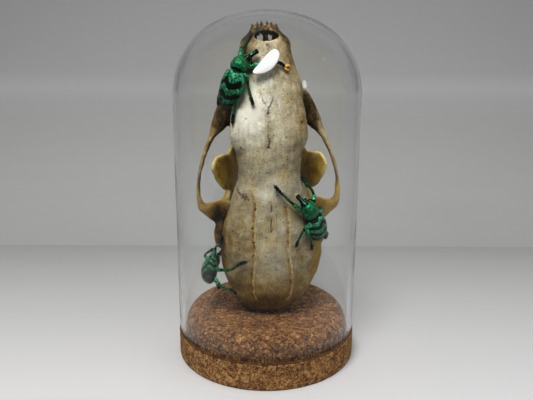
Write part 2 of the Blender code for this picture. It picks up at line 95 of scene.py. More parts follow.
def through(rows: Rows, count: int) -> Array:
    """Points of a smooth curve through the rows.

    Between two rows the curve is the cubic that leaves each row parallel to the line between its neighbours.

    Args:
        rows: values that the curve passes, any number in each row.
        count: how many points are wanted.

    Returns:
        An array of that many rows.
    """
    given = np.asarray(rows, float)
    padded = np.vstack([2 * given[0] - given[1], given, 2 * given[-1] - given[-2]])
    place = np.linspace(0, len(given) - 1, count)
    index = np.minimum(place.astype(int), len(given) - 2)
    t = (place - index)[:, None]
    a, b, c, d = (padded[index + k] for k in range(4))
    return 0.5 * (2 * b + (c - a) * t + (2 * a - 5 * b + 4 * c - d) * t**2 + (3 * b - a - 3 * c + d) * t**3)


def even(path: Array, count: int) -> Array:
    """Spreads a path's points evenly, by interpolation over its running length.

    Args:
        path: points, with any values beside them.
        count: how many points are wanted.

    Returns:
        The path with its points an equal length apart.
    """
    run = np.r_[0, np.cumsum(np.linalg.norm(np.diff(path[:, :3], axis=0), axis=1))]
    return np.stack([np.interp(np.linspace(0, run[-1], count), run, column) for column in path.T], axis=1)


def unit(vectors: Array) -> Array:
    """The vectors at length one."""
    return vectors / np.maximum(np.linalg.norm(vectors, axis=-1, keepdims=True), 1e-12)


def step_between(low: float, high: float, values: Array) -> Array:
    """Zero below low, one above high, and the cubic 3t^2 - 2t^3 between them."""
    t = np.clip((values - low) / (high - low), 0, 1)
    return t * t * (3 - 2 * t)


def bell(values: Array, width: float) -> Array:
    """A bell of height one round zero: e to the minus squared share of the width."""
    return np.exp(-(values / width) ** 2)


def round_angles(count: int) -> Array:
    """That many angles, evenly round a full turn."""
    return np.linspace(0, 2 * np.pi, count, endpoint=False)


def arc(middle: Row, size: float, start: float, end: float, count: int) -> Array:
    """Points of a round stretch of a profile: the middle plus the size times the angle's sine and cosine.

    Args:
        middle: the two places of the arc's middle.
        size: its radius.
        start: the first angle, in degrees from the second axis.
        end: the last angle.
        count: how many points are wanted.

    Returns:
        An array of that many pairs.
    """
    angle = np.radians(np.linspace(start, end, count))[:, None]
    return np.asarray(middle) + size * np.hstack([np.sin(angle), np.cos(angle)])


def ripple(points: Array, length: float, seed: int, waves: int = 24) -> Array:
    """A soft random field of about unit size.

    It is the sum of plane waves of about the given length, in random directions and phases, over the root
    of half their number.

    Args:
        points: where the field is read.
        length: the waves' mean length.
        seed: which of the fields it is.
        waves: how many waves are summed.

    Returns:
        One value for each point.
    """
    chance = np.random.default_rng(seed)
    ways = unit(chance.normal(size=(waves, 3))) * chance.uniform(0.7, 1.4, (waves, 1))
    phases = chance.uniform(0, 2 * np.pi, waves)
    return np.sin(points @ ways.T * (2 * np.pi / length) + phases).sum(axis=-1) / math.sqrt(waves / 2)


def distance_to_line(flat: Array, line: Rows) -> Array:
    """Distances to a broken line: the least of those to its straight stretches.

    Args:
        flat: points in the line's plane.
        line: the line's corners.

    Returns:
        One distance for each point.
    """
    spots = np.asarray(line, float)
    least = np.full(len(flat), np.inf)
    for start, end in zip(spots, spots[1:]):
        way = end - start
        t = np.clip((flat - start) @ way / (way @ way), 0, 1)
        least = np.minimum(least, np.linalg.norm(flat - start - t[:, None] * way, axis=1))
    return least


def blob(points: Array, middle: Row, spread: Row) -> Array:
    """A bell of height one: e to the minus half the squared distance, measured in spreads along each axis."""
    return np.exp(-0.5 * (((points - np.asarray(middle)) / np.asarray(spread)) ** 2).sum(axis=1))


def rounded_box(angle: Array, square: float) -> tuple[Array, Array]:
    """An outline between an oval and a box: cosine and sine, each to the power 2 / square with its sign kept.

    Args:
        angle: angles round the outline.
        square: two for an oval, and more for a fuller one.

    Returns:
        Places across and up, from -1 to 1.
    """
    side, rise = np.cos(angle), np.sin(angle)
    return np.sign(side) * np.abs(side) ** (2 / square), np.sign(rise) * np.abs(rise) ** (2 / square)


def oval_rings(path: Array, thick: Array, tall: Array, flat: Row, around: int, belly: float = 1.0) -> Array:
    """Oval rings along a path: its point, plus cosine times thick across and sine times tall along flat.

    Args:
        path: the middle of each ring.
        thick: half size of each ring across the flat way.
        tall: half size of each ring along the flat way.
        flat: the way that the ovals' tall side keeps to, turned square to the path.
        around: points in a ring.
        belly: share of the tall size that is kept on the side away from flat.

    Returns:
        Points shaped (rings, around, 3).
    """
    along = unit(np.gradient(path, axis=0))
    way = np.broadcast_to(np.asarray(flat, float), path.shape)
    high = unit(way - along * (along * way).sum(axis=1, keepdims=True))
    across = np.cross(along, high)
    angle = round_angles(around)[None, :, None]
    rise = np.where(np.sin(angle) < 0, belly, 1.0) * np.sin(angle)
    return (path[:, None] + thick[:, None, None] * np.cos(angle) * across[:, None]
            + tall[:, None, None] * rise * high[:, None])


def ball_rings(middle: Row, half_sizes: Row, rings: int = 24, around: int = 32) -> Array:
    """Rings of an ellipsoid: from pole to pole an angle's sine is the ring's size and its cosine the height.

    Args:
        middle: its middle.
        half_sizes: its half sizes along X, Y and Z.
        rings: how many rings it has.
        around: points in a ring.

    Returns:
        Points shaped (rings, around, 3).
    """
    pole = 0.06
    rise = np.linspace(pole, np.pi - pole, rings)[:, None]
    angle = round_angles(around)[None]
    shape = np.stack([np.sin(rise) * np.cos(angle), np.sin(rise) * np.sin(angle),
                      np.cos(rise) * np.ones_like(angle)], axis=-1)
    return np.asarray(middle) + shape * np.asarray(half_sizes)


def turned_rings(profile: Array, around: int) -> Array:
    """Rings of a turned body: each profile point is carried round the Z axis.

    Args:
        profile: radii and heights.
        around: points in a ring.

    Returns:
        Points shaped (rings, around, 3).
    """
    angle = round_angles(around)[None]
    radius, height = profile[:, :1], profile[:, 1:]
    return np.stack([radius * np.cos(angle), radius * np.sin(angle), height * np.ones_like(angle)], axis=-1)


@dataclass
class Skin:
    """Closed surfaces gathered as whole arrays for one mesh. Each ends in a pole at both its ends."""

    points: list[Array] = field(default_factory=list)
    faces: list[Sequence[int]] = field(default_factory=list)
    marks: dict[str, list[Array]] = field(default_factory=dict)
    count: int = 0

    def add(self, rings: Array, **marks: Array | float) -> None:
        """Adds one closed surface, turned so that its faces point outwards.

        Args:
            rings: points shaped (rings, around, 3).
            marks: values kept as point attributes, one for the surface or one for each of its points.
        """
        high, around = rings.shape[:2]
        index = np.arange(high * around).reshape(high, around)
        after = np.roll(index, -1, axis=1)
        quads = np.stack([index[:-1], after[:-1], after[1:], index[1:]], axis=-1).reshape(-1, 4)
        first, last = np.full(around, high * around), np.full(around, high * around + 1)
        fans = np.vstack([np.stack([after[0], index[0], first], axis=-1),
                          np.stack([index[-1], after[-1], last], axis=-1)])
        points = np.vstack([rings.reshape(-1, 3), rings[0].mean(axis=0), rings[-1].mean(axis=0)])
        corners = np.vstack([fans, quads[:, [0, 1, 2]], quads[:, [0, 2, 3]]])
        a, b, c = (points[corners[:, k]] - points.mean(axis=0) for k in range(3))
        if np.einsum("ij,ij->", a, np.cross(b, c)) < 0:
            quads, fans = quads[:, ::-1], fans[:, ::-1]
        self.faces += (quads + self.count).tolist() + (fans + self.count).tolist()
        for name, value in marks.items():
            full = np.broadcast_to(np.asarray(value, float), (high, around))
            self.marks.setdefault(name, []).append(np.r_[full.ravel(), full[0].mean(), full[-1].mean()])
        self.points.append(points)
        self.count += len(points)

    def mesh(self, name: str) -> Mesh:
        """Makes one mesh of the gathered surfaces.

        Args:
            name: the mesh's name.

        Returns:
            The mesh, in metres, with its attributes.
        """
        made = bpy.data.meshes.new(name)
        made.from_pydata(np.vstack(self.points) * MM, [], self.faces)
        for key, values in self.marks.items():
            keep_mark(made, key, np.concatenate(values))
        return made


def keep_mark(mesh: Mesh, name: str, values: Array) -> None:
    """Keeps one value for each point as the mesh's attribute of that name."""
    layer = mesh.attributes.new(name, "FLOAT", "POINT")
    layer.data.foreach_set("value", np.asarray(values, np.float32))


def points_of(mesh: Mesh) -> Array:
    """The mesh's points in millimetres."""
    flat = np.zeros(len(mesh.vertices) * 3, np.float32)
    mesh.vertices.foreach_get("co", flat)
    return flat.reshape(-1, 3).astype(float) / MM


def normals_of(mesh: Mesh) -> Array:
    """The outward way at each of the mesh's points."""
    flat = np.zeros(len(mesh.vertices) * 3, np.float32)
    mesh.vertices.foreach_get("normal", flat)
    return flat.reshape(-1, 3).astype(float)


def set_points(mesh: Mesh, points: Array) -> None:
    """Moves the mesh's points to these places in millimetres."""
    mesh.vertices.foreach_set("co", (points * MM).astype(np.float32).ravel())
    mesh.update()


def relaxed(mesh: Mesh, values: Array, rounds: int) -> Array:
    """Softens values over a mesh: each point's go halfway to the mean of its neighbours', again and again.

    Args:
        mesh: the mesh whose edges join the neighbours.
        values: a row for each point.
        rounds: how many times it is done.

    Returns:
        The softened values.
    """
    edges = np.zeros(len(mesh.edges) * 2, np.int32)
    mesh.edges.foreach_get("vertices", edges)
    a, b = edges.reshape(-1, 2).T
    size = len(values)
    shares = np.maximum(np.bincount(a, minlength=size) + np.bincount(b, minlength=size), 1)[:, None]
    for _ in range(rounds):
        total = np.stack([np.bincount(a, column[b], size) + np.bincount(b, column[a], size)
                          for column in values.T], axis=1)
        values = 0.5 * (values + total / shares)
    return values


def add_piece(name: str, mesh: Mesh, material: Finish) -> Piece:
    """Makes a smooth-shaded object at the origin.

    Args:
        name: the object's name.
        mesh: its mesh.
        material: its one material.

    Returns:
        The object.
    """
    made = bpy.data.objects.new(name, mesh)
    bpy.context.scene.collection.objects.link(made)
    mesh.materials.clear()
    mesh.materials.append(material)
    mesh.shade_smooth()
    return made


def grown(name: str, skin: Skin, hollows: Iterable[Array], grain: float) -> Mesh:
    """One skin grown over overlapping closed surfaces, as bone grows in one piece.

    A voxel remesh joins the surfaces, a Boolean takes each hollow out, and a second remesh and a short
    smoothing round the cut edges.

    Args:
        name: the mesh's name.
        skin: the surfaces to join.
        hollows: closed surfaces to take out, as rings.
        grain: the remesh's voxel size.

    Returns:
        The grown mesh.
    """
    body = bpy.data.objects.new(name, skin.mesh(name))
    bpy.context.scene.collection.objects.link(body)
    helpers = [body]

    def remesh(size: float, rounds: int) -> None:
        """Adds a voxel remesh and a smoothing after it.

        Args:
            size: the voxels' size.
            rounds: how many rounds of smoothing.
        """
        join = body.modifiers.new("join", "REMESH")
        join.mode = "VOXEL"
        join.voxel_size = size * MM
        soften = body.modifiers.new("soften", "SMOOTH")
        soften.factor = 0.5
        soften.iterations = rounds

    coarser = 1.15
    remesh(grain * coarser, 2)
    for rings in hollows:
        cutter_skin = Skin()
        cutter_skin.add(rings)
        cutter = bpy.data.objects.new(name + "_hollow", cutter_skin.mesh(name + "_hollow"))
        bpy.context.scene.collection.objects.link(cutter)
        helpers.append(cutter)
        cut = body.modifiers.new("cut", "BOOLEAN")
        cut.operation = "DIFFERENCE"
        cut.object = cutter
    remesh(grain, 3)
    bpy.context.view_layer.update()
    graph = bpy.context.evaluated_depsgraph_get()
    mesh = bpy.data.meshes.new_from_object(body.evaluated_get(graph))
    for helper in helpers:
        bpy.data.objects.remove(helper, do_unlink=True)
    return mesh


# Materials


def plug_in(tree: Tree, node: bpy.types.Node, inputs: dict) -> None:
    """Gives the node's inputs their values and links.

    Args:
        tree: the material's node tree.
        node: the node whose inputs are set.
        inputs: a value or another node's output for each input, by name or number.
    """
    for key, value in inputs.items():
        if isinstance(value, Socket):
            tree.links.new(value, node.inputs[key])
        else:
            node.inputs[key].default_value = value


def add_node(tree: Tree, kind: str, inputs: dict | None = None, stops: Stops = (),
             **settings: object) -> bpy.types.Node:
    """Adds a node with its settings and links.

    Args:
        tree: the material's node tree.
        kind: the node's type without its common first word.
        inputs: a value or another node's output for each input, by name or number.
        stops: places and hex colours of a colour ramp, the first and the last place first.
        settings: the node's own properties.

    Returns:
        The new node.
    """
    made = tree.nodes.new("ShaderNode" + kind)
    for key, value in settings.items():
        setattr(made, key, value)
    plug_in(tree, made, inputs or {})
    for number, (place, colour) in enumerate(stops):
        elements = made.color_ramp.elements
        element = elements[number] if number < 2 else elements.new(place)
        element.position = place
        element.color = linear(colour)
    return made


def new_material(name: str) -> tuple[Finish, Tree, bpy.types.Node, Socket]:
    """Starts a material.

    Args:
        name: the material's name.

    Returns:
        The material, its tree, its Principled shader and the Object coordinates in millimetres.
    """
    made = bpy.data.materials.new(name)
    made.use_nodes = True
    tree = made.node_tree
    place = add_node(tree, "TexCoord").outputs["Object"]
    spread = add_node(tree, "VectorMath", {0: place, "Scale": 1 / MM}, operation="SCALE").outputs[0]
    return made, tree, tree.nodes["Principled BSDF"], spread


@dataclass(frozen=True)
class Mark:
    """A mark in the bone's colour, drawn where a distance attribute is small.

    Its strength falls from one to zero between the inner and the outer distance, in millimetres, and is kept
    only in patches where a noise is above the gate.
    """

    attribute: str
    inner: float
    outer: float
    colour: str
    strength: float
    depth: float
    gate: float = -0.5
    patch: float = 1.6
    wobble: float = 0.5


@dataclass(frozen=True)
class AgedBone:
    """Dry cleaned bone: matt ivory with brown grease left in it, greyer in places, and darker in its hollows,
    partly as dirt and partly as painted shade.

    It reads the attributes tone (how pale the place is, painted shade and light included), relief (ridges
    above zero, hollows below), grease (how yellow-brown the place is) and the distances that its marks name.
    The sizes of its patterns are in millimetres, and a weight says how much of a pattern goes into the tone.
    """

    name: str
    shades: Stops
    greasy: Stops
    marks: Sequence[Mark] = ()
    cool: str = "#8d8b84"
    cool_share: float = 0.2
    blotch: float = 7.0
    mottle: float = 1.3
    grit: float = 0.4
    speck: float = 1.0
    streak: float = 0.9
    drift: float = 5.0
    jitter: float = 0.6
    blotch_weight: float = 0.38
    mottle_weight: float = 0.3
    grit_weight: float = 0.42
    relief_weight: float = 0.22
    speck_weight: float = -0.3
    streak_weight: float = 0.32
    drift_weight: float = 1.6
    streaks_from: tuple[float, float] = (56.0, 66.0)
    streak_stretch: float = 0.14
    patch_edge: float = 0.05
    roughness: float = 0.62
    gloss: float = 0.16
    bump_depth: float = 0.22

    def clouds(self, tree: Tree, place: Socket, size: float, detail: float, shift: float = 0.0) -> Socket:
        """A cloudy pattern.

        Args:
            tree: the material's node tree.
            place: the coordinates, in millimetres.
            size: the grain's size.
            detail: how many finer layers it has.
            shift: how far along X the pattern is moved, so that two of one size differ.

        Returns:
            A value from about -0.5 to 0.5.
        """
        moved = add_node(tree, "Mapping", {"Vector": place, "Location": (shift, 0.0, 0.0)}).outputs[0]
        cloud = add_node(tree, "TexNoise", {"Vector": moved, "Scale": 1 / size, "Detail": detail,
                                            "Roughness": 0.65}).outputs["Fac"]
        return add_node(tree, "Math", {0: cloud, 1: 0.5}, operation="SUBTRACT").outputs[0]

    def specks(self, tree: Tree, place: Socket) -> Socket:
        """Small round specks: the middles of about a quarter of the cells.

        Args:
            tree: the material's node tree.
            place: the coordinates, in millimetres.

        Returns:
            One in a speck and zero outside it.
        """
        cells = add_node(tree, "TexVoronoi", {"Vector": place, "Scale": 1 / self.speck})
        chosen = add_node(tree, "SeparateColor", {0: cells.outputs["Color"]}).outputs[0]
        gate = add_node(tree, "MapRange", {"Value": chosen, "From Min": 0.72, "From Max": 0.8}).outputs[0]
        dot = add_node(tree, "MapRange", {"Value": cells.outputs["Distance"], "From Min": 0.26,
                                          "From Max": 0.12}).outputs[0]
        return add_node(tree, "Math", {0: dot, 1: gate}, operation="MULTIPLY").outputs[0]

    def streaks(self, tree: Tree, place: Socket) -> Socket:
        """Fine lengthwise streaks, which come in over the snout.

        Args:
            tree: the material's node tree.
            place: the coordinates, in millimetres.

        Returns:
            A value from about -0.5 to 0.5, and zero below the snout.
        """
        lengthwise = add_node(tree, "Mapping", {"Vector": place, "Scale": (1.0, 1.0, self.streak_stretch)})
        fine = add_node(tree, "TexNoise", {"Vector": lengthwise.outputs[0], "Scale": 1 / self.streak,
                                           "Detail": 3.0}).outputs["Fac"]
        fine = add_node(tree, "Math", {0: fine, 1: 0.5}, operation="SUBTRACT").outputs[0]
        up = add_node(tree, "SeparateXYZ", {0: place}).outputs[2]
        snout = add_node(tree, "MapRange", {"Value": up, "From Min": self.streaks_from[0],
                                            "From Max": self.streaks_from[1]}).outputs[0]
        return add_node(tree, "Math", {0: fine, 1: snout}, operation="MULTIPLY").outputs[0]

    def cool_layer(self, tree: Tree, drift: Socket, grease: Socket, total: Socket) -> Socket:
        """The share of the cool grey: where the drift is low, the bone is clean and the tone isn't dark.

        Args:
            tree: the material's node tree.
            drift: the wide pattern.
            grease: how yellow-brown the place is.
            total: the tone.

        Returns:
            A share from zero to the cool share.
        """
        share = add_node(tree, "MapRange", {"Value": drift, "From Min": -0.02, "From Max": -0.2,
                                            "To Max": self.cool_share}).outputs[0]
        clean = add_node(tree, "Math", {0: 1.0, 1: grease}, operation="SUBTRACT", use_clamp=True).outputs[0]
        lit = add_node(tree, "MapRange", {"Value": total, "From Min": 0.25, "From Max": 0.5}).outputs[0]
        for factor in (clean, lit):
            share = add_node(tree, "Math", {0: share, 1: factor}, operation="MULTIPLY").outputs[0]
        return share

    def material(self) -> Finish:
        """Builds the material.

        The tone is the sum of its patterns. It picks a plain and a greasy shade, the grease mixes the two,
        and the cool grey and the marks are laid over them.

        Returns:
            The material.
        """
        made, tree, shader, place = new_material(self.name)
        tone, relief, grease = (add_node(tree, "Attribute", attribute_name=name).outputs["Fac"]
                                for name in ("tone", "relief", "grease"))
        grain_way = add_node(tree, "Mapping", {"Vector": place, "Scale": (1.0, 1.0, 0.85)}).outputs[0]
        blotch = self.clouds(tree, grain_way, self.blotch, 5.0)
        mottle = self.clouds(tree, grain_way, self.mottle, 4.0)
        grit = self.clouds(tree, grain_way, self.grit, 2.0)
        drift = self.clouds(tree, grain_way, self.drift, 3.0, 40.0)
        jitter = self.clouds(tree, grain_way, self.jitter, 3.0, 20.0)
        speck = self.specks(tree, place)
        streak = self.streaks(tree, place)
        # The relief darkens the hollows, partly as painted shade and partly as dirt.
        total = tone
        for part, weight in ((blotch, self.blotch_weight), (mottle, self.mottle_weight),
                             (grit, self.grit_weight), (relief, self.relief_weight),
                             (speck, self.speck_weight), (streak, self.streak_weight)):
            total = add_node(tree, "Math", {0: part, 1: weight, 2: total},
                             operation="MULTIPLY_ADD").outputs[0]
        plain, yellow = (add_node(tree, "ValToRGB", {"Fac": total}, stops=stops).outputs["Color"]
                         for stops in (self.shades, self.greasy))
        share = add_node(tree, "Math", {0: drift, 1: self.drift_weight, 2: grease}, operation="MULTIPLY_ADD",
                         use_clamp=True).outputs[0]
        colour = add_node(tree, "Mix", {0: share, 6: plain, 7: yellow}, data_type="RGBA").outputs[2]
        layers = [(self.cool_layer(tree, drift, grease, total), self.cool)]
        height = mottle
        for part, weight in ((grit, 0.7), (speck, -0.6)):
            height = add_node(tree, "Math", {0: part, 1: weight, 2: height},
                              operation="MULTIPLY_ADD").outputs[0]
        for number, mark in enumerate(self.marks):
            away = add_node(tree, "Attribute", attribute_name=mark.attribute).outputs["Fac"]
            away = add_node(tree, "Math", {0: jitter, 1: mark.wobble, 2: away},
                            operation="MULTIPLY_ADD").outputs[0]
            near = add_node(tree, "MapRange", {"Value": away, "From Min": mark.inner, "From Max": mark.outer,
                                               "To Min": mark.strength, "To Max": 0.0}).outputs[0]
            patch = self.clouds(tree, grain_way, mark.patch, 2.0, 13.0 * (number + 1))
            kept = add_node(tree, "MapRange", {"Value": patch, "From Min": mark.gate - self.patch_edge,
                                               "From Max": mark.gate + self.patch_edge}).outputs[0]
            near = add_node(tree, "Math", {0: near, 1: kept}, operation="MULTIPLY").outputs[0]
            layers.append((near, mark.colour))
            height = add_node(tree, "Math", {0: near, 1: mark.depth, 2: height},
                              operation="MULTIPLY_ADD").outputs[0]
        for share, hue in layers:
            colour = add_node(tree, "Mix", {0: share, 6: colour, 7: linear(hue)}, data_type="RGBA").outputs[2]
        bump = add_node(tree, "Bump", {"Height": height, "Strength": 0.6, "Distance": self.bump_depth * MM})
        rough = add_node(tree, "MapRange", {"Value": mottle, "From Min": -0.2, "From Max": 0.2,
                                            "To Min": self.roughness - 0.1, "To Max": self.roughness + 0.12})
        plug_in(tree, shader, {"Base Color": colour, "Normal": bump.outputs[0],
                               "Roughness": rough.outputs[0], "IOR": 1.5, "Specular IOR Level": self.gloss})
        return made


@dataclass(frozen=True)
class PressedCork:
    """Agglomerated cork: granules of 1 to 3 mm in many browns, pressed with dark bark specks and small gaps.

    It reads two attributes: plug, where the cork is painted darker as shade against the lamps above, and the
    one for the gap under the glass rim, where it is painted darker as the shadow there. The sizes of its
    patterns are in millimetres.
    """

    name: str = "pressed_granulated_cork"
    shades: Stops = ((0.3, "#3d2511"), (1.0, "#c79b64"), (0.5, "#66452a"), (0.68, "#865d35"),
                     (0.86, "#a67a4a"))
    granule: float = 1.5
    granule_weight: float = 0.26
    crumb: float = 0.6
    crumb_weight: float = 0.44
    dust: float = 0.3
    dust_weight: float = 1.5
    ground: float = -0.39
    wander: float = 0.8
    wander_reach: float = 0.16
    warm: float = 2.2
    warm_share: float = 0.2
    bark: float = 0.6
    seam_shade: float = 0.2
    rim_shade: float = 0.8
    plug_shade: float = 0.2

    def material(self) -> Finish:
        """Builds the material.

        The value that picks a brown is the ground plus the dust, the granules and the crumbs, less the plug.

        Returns:
            The material.
        """
        made, tree, shader, place = new_material(self.name)
        plug, rim_shadow = (add_node(tree, "Attribute", attribute_name=name).outputs["Fac"]
                           for name in ("plug", "rim_shadow"))
        bends = add_node(tree, "TexNoise", {"Vector": place, "Scale": 1 / self.wander, "Detail": 3.0})
        reach = (self.wander_reach,) * 3
        shifted = add_node(tree, "VectorMath", {0: bends.outputs["Color"], 1: reach, 2: place},
                           operation="MULTIPLY_ADD").outputs[0]
        dust = add_node(tree, "TexNoise", {"Vector": place, "Scale": 1 / self.dust,
                                           "Detail": 3.0}).outputs["Fac"]
        value = add_node(tree, "Math", {0: dust, 1: self.dust_weight, 2: self.ground},
                         operation="MULTIPLY_ADD").outputs[0]
        # Painted shade: the plug is darker than the disc, against the lamps above it
        value = add_node(tree, "Math", {0: plug, 1: -self.plug_shade, 2: value},
                         operation="MULTIPLY_ADD").outputs[0]
        for size, weight in ((self.granule, self.granule_weight), (self.crumb, self.crumb_weight)):
            cells = add_node(tree, "TexVoronoi", {"Vector": shifted, "Scale": 1 / size}).outputs["Color"]
            pick = add_node(tree, "SeparateColor", {0: cells}).outputs[0]
            value = add_node(tree, "Math", {0: pick, 1: weight, 2: value},
                             operation="MULTIPLY_ADD").outputs[0]
        warm = add_node(tree, "TexNoise", {"Vector": shifted, "Scale": 1 / self.warm,
                                           "Detail": 2.0}).outputs["Fac"]
        warm = add_node(tree, "MapRange", {"Value": warm, "From Min": 0.52, "From Max": 0.64,
                                           "To Max": self.warm_share}).outputs[0]
        bark = add_node(tree, "TexNoise", {"Vector": shifted, "Scale": 1 / self.bark,
                                           "Detail": 3.0}).outputs["Fac"]
        bark = add_node(tree, "MapRange", {"Value": bark, "From Min": 0.62, "From Max": 0.68}).outputs[0]
        edges = add_node(tree, "TexVoronoi", {"Vector": shifted, "Scale": 1 / self.granule},
                         feature="DISTANCE_TO_EDGE").outputs["Distance"]
        seam = add_node(tree, "MapRange", {"Value": edges, "From Min": 0.06, "From Max": 0.0}).outputs[0]
        # Painted shadow in the gap under the glass rim, laid over the bark specks and the seams
        dark = bark
        for part, weight in ((seam, self.seam_shade), (rim_shadow, self.rim_shade)):
            dark = add_node(tree, "Math", {0: part, 1: weight, 2: dark}, operation="MULTIPLY_ADD",
                            use_clamp=True).outputs[0]
        colour = add_node(tree, "ValToRGB", {"Fac": value}, stops=self.shades).outputs[0]
        for share, hue in ((warm, "#96682f"), (dark, "#1e1209")):
            colour = add_node(tree, "Mix", {0: share, 6: colour, 7: linear(hue)}, data_type="RGBA").outputs[2]
        height = add_node(tree, "Math", {0: dark, 1: -0.9, 2: value}, operation="MULTIPLY_ADD").outputs[0]
        bump = add_node(tree, "Bump", {"Height": height, "Strength": 0.7, "Distance": 0.3 * MM}).outputs[0]
        plug_in(tree, shader, {"Base Color": colour, "Normal": bump, "Roughness": 0.9,
                               "Specular IOR Level": 0.2})
        return made


@dataclass(frozen=True)
class BlownGlass:
    """Soda-lime glass, blown: quite clear, with the slow waves that bend what is seen through it."""

    name: str = "blown_soda_lime_glass"
    wave: float = 18.0

    def material(self) -> Finish:
        """Builds the material.

        Returns:
            The material.
        """
        made, tree, shader, place = new_material(self.name)
        waves = add_node(tree, "TexNoise", {"Vector": place, "Scale": 1 / self.wave,
                                            "Detail": 1.0}).outputs["Fac"]
        bump = add_node(tree, "Bump", {"Height": waves, "Strength": 0.2, "Distance": 0.4 * MM}).outputs[0]
        plug_in(tree, shader, {"Base Color": linear("#fdfefd"), "Normal": bump, "Roughness": 0.0, "IOR": 1.5,
                               "Transmission Weight": 1.0})
        return made


@dataclass(frozen=True)
class ScaledShell:
    """An insect's hard shell, covered in metallic green scales that are worn to black along wavy bands.

    It reads the attributes green (how bright the scales are), band (black where it is one) and blue. The
    sizes of its patterns are in millimetres.
    """

    name: str
    shades: Stops = ((0.0, "#01140e"), (1.0, "#7af5c8"), (0.3, "#04503a"), (0.5, "#0a8a5c"),
                     (0.75, "#19c485"))
    scale: float = 0.3
    scale_weight: float = 0.25
    fleck: float = 0.7
    fleck_weight: float = 2.6
    patch: float = 0.9
    patch_weight: float = 3.2
    lost_share: float = 0.4
    olive_share: float = 0.6
    metal: float = 0.8

    def clouds(self, tree: Tree, place: Socket, size: float, detail: float, seed: float) -> Socket:
        """A ragged pattern.

        Args:
            tree: the material's node tree.
            place: the coordinates, in millimetres.
            size: the grain's size.
            detail: how many finer layers it has.
            seed: zero for the plain pattern, and otherwise which of its fourth dimension's slices it is.

        Returns:
            A value from about -0.5 to 0.5.
        """
        inputs = {"Vector": place, "Scale": 1 / size, "Detail": detail, "Roughness": 0.7}
        if seed:
            made = add_node(tree, "TexNoise", inputs | {"W": seed}, noise_dimensions="4D")
        else:
            made = add_node(tree, "TexNoise", inputs)
        return add_node(tree, "Math", {0: made.outputs["Fac"], 1: 0.5}, operation="SUBTRACT").outputs[0]

    def material(self) -> Finish:
        """Builds the material.

        A green is picked by the scales' brightness with the flecks and each scale's own glint. Black is laid
        over it where the band, the patches and the lost scales together pass a threshold.

        Returns:
            The material.
        """
        made, tree, shader, place = new_material(self.name)
        green, band, blue = (add_node(tree, "Attribute", attribute_name=name).outputs["Fac"]
                             for name in ("green", "band", "blue"))
        fleck = self.clouds(tree, place, self.fleck, 4.0, 0.0)
        patch = self.clouds(tree, place, self.patch, 5.0, 3.0)
        scales = add_node(tree, "TexVoronoi", {"Vector": place, "Scale": 1 / self.scale})
        glint = add_node(tree, "SeparateColor", {0: scales.outputs["Color"]}).outputs[0]
        value = green
        for part, weight in ((fleck, self.fleck_weight), (glint, self.scale_weight)):
            value = add_node(tree, "Math", {0: part, 1: weight, 2: value},
                             operation="MULTIPLY_ADD").outputs[0]
        colour = add_node(tree, "ValToRGB", {"Fac": value}, stops=self.shades).outputs[0]
        olive = add_node(tree, "MapRange", {"Value": fleck, "From Min": -0.04, "From Max": -0.1,
                                            "To Max": self.olive_share}).outputs[0]
        lost = add_node(tree, "MapRange", {"Value": glint, "From Min": 0.22, "From Max": 0.14,
                                           "To Max": self.lost_share}).outputs[0]
        worn = add_node(tree, "Math", {0: patch, 1: self.patch_weight, 2: band},
                        operation="MULTIPLY_ADD").outputs[0]
        worn = add_node(tree, "Math", {0: worn, 1: lost}, operation="ADD").outputs[0]
        black = add_node(tree, "MapRange", {"Value": worn, "From Min": 0.26, "From Max": 0.34}).outputs[0]
        for share, hue in ((olive, "#7fae3c"), (blue, "#0b3547"), (black, "#030504")):
            colour = add_node(tree, "Mix", {0: share, 6: colour, 7: linear(hue)}, data_type="RGBA").outputs[2]
        metal = add_node(tree, "MapRange", {"Value": black, "To Min": self.metal, "To Max": 0.0}).outputs[0]
        height = add_node(tree, "Math", {0: black, 1: -0.8, 2: scales.outputs["Distance"]},
                          operation="MULTIPLY_ADD").outputs[0]
        bump = add_node(tree, "Bump", {"Height": height, "Strength": 0.7, "Distance": 0.12 * MM}).outputs[0]
        plug_in(tree, shader, {"Base Color": colour, "Normal": bump, "Metallic": metal, "Roughness": 0.3,
                               "Specular IOR Level": 0.12})
        return made


@dataclass(frozen=True)
class ThinPetal:
    """A dry white petal: matt, nearly opaque, with faint ribs and a brown line along one edge.

    It reads the attributes across (the fine pleats) and rim (one at the edge).
    """

    name: str = "dried_white_petal"
    shades: Stops = ((0.2, "#f1f4f5"), (0.8, "#ffffff"))
    rib: float = 0.35
    cloud: float = 1.5

    def material(self) -> Finish:
        """Builds the material.

        Returns:
            The material.
        """
        made, tree, shader, place = new_material(self.name)
        across, rim = (add_node(tree, "Attribute", attribute_name=name).outputs["Fac"]
                       for name in ("across", "rim"))
        ribs = add_node(tree, "TexWave", {"Vector": place, "Scale": 1 / self.rib,
                                          "Distortion": 2.0}).outputs["Fac"]
        cloud = add_node(tree, "TexNoise", {"Vector": place, "Scale": 1 / self.cloud,
                                            "Detail": 3.0}).outputs["Fac"]
        tint = add_node(tree, "Math", {0: ribs, 1: 0.25, 2: cloud}, operation="MULTIPLY_ADD").outputs[0]
        white = add_node(tree, "ValToRGB", {"Fac": tint}, stops=self.shades).outputs[0]
        colour = add_node(tree, "Mix", {0: rim, 6: white, 7: linear("#5a4630")}, data_type="RGBA").outputs[2]
        bump = add_node(tree, "Bump", {"Height": across, "Strength": 0.2, "Distance": 0.1 * MM}).outputs[0]
        plug_in(tree, shader, {"Base Color": colour, "Normal": bump, "Roughness": 0.6})
        return made


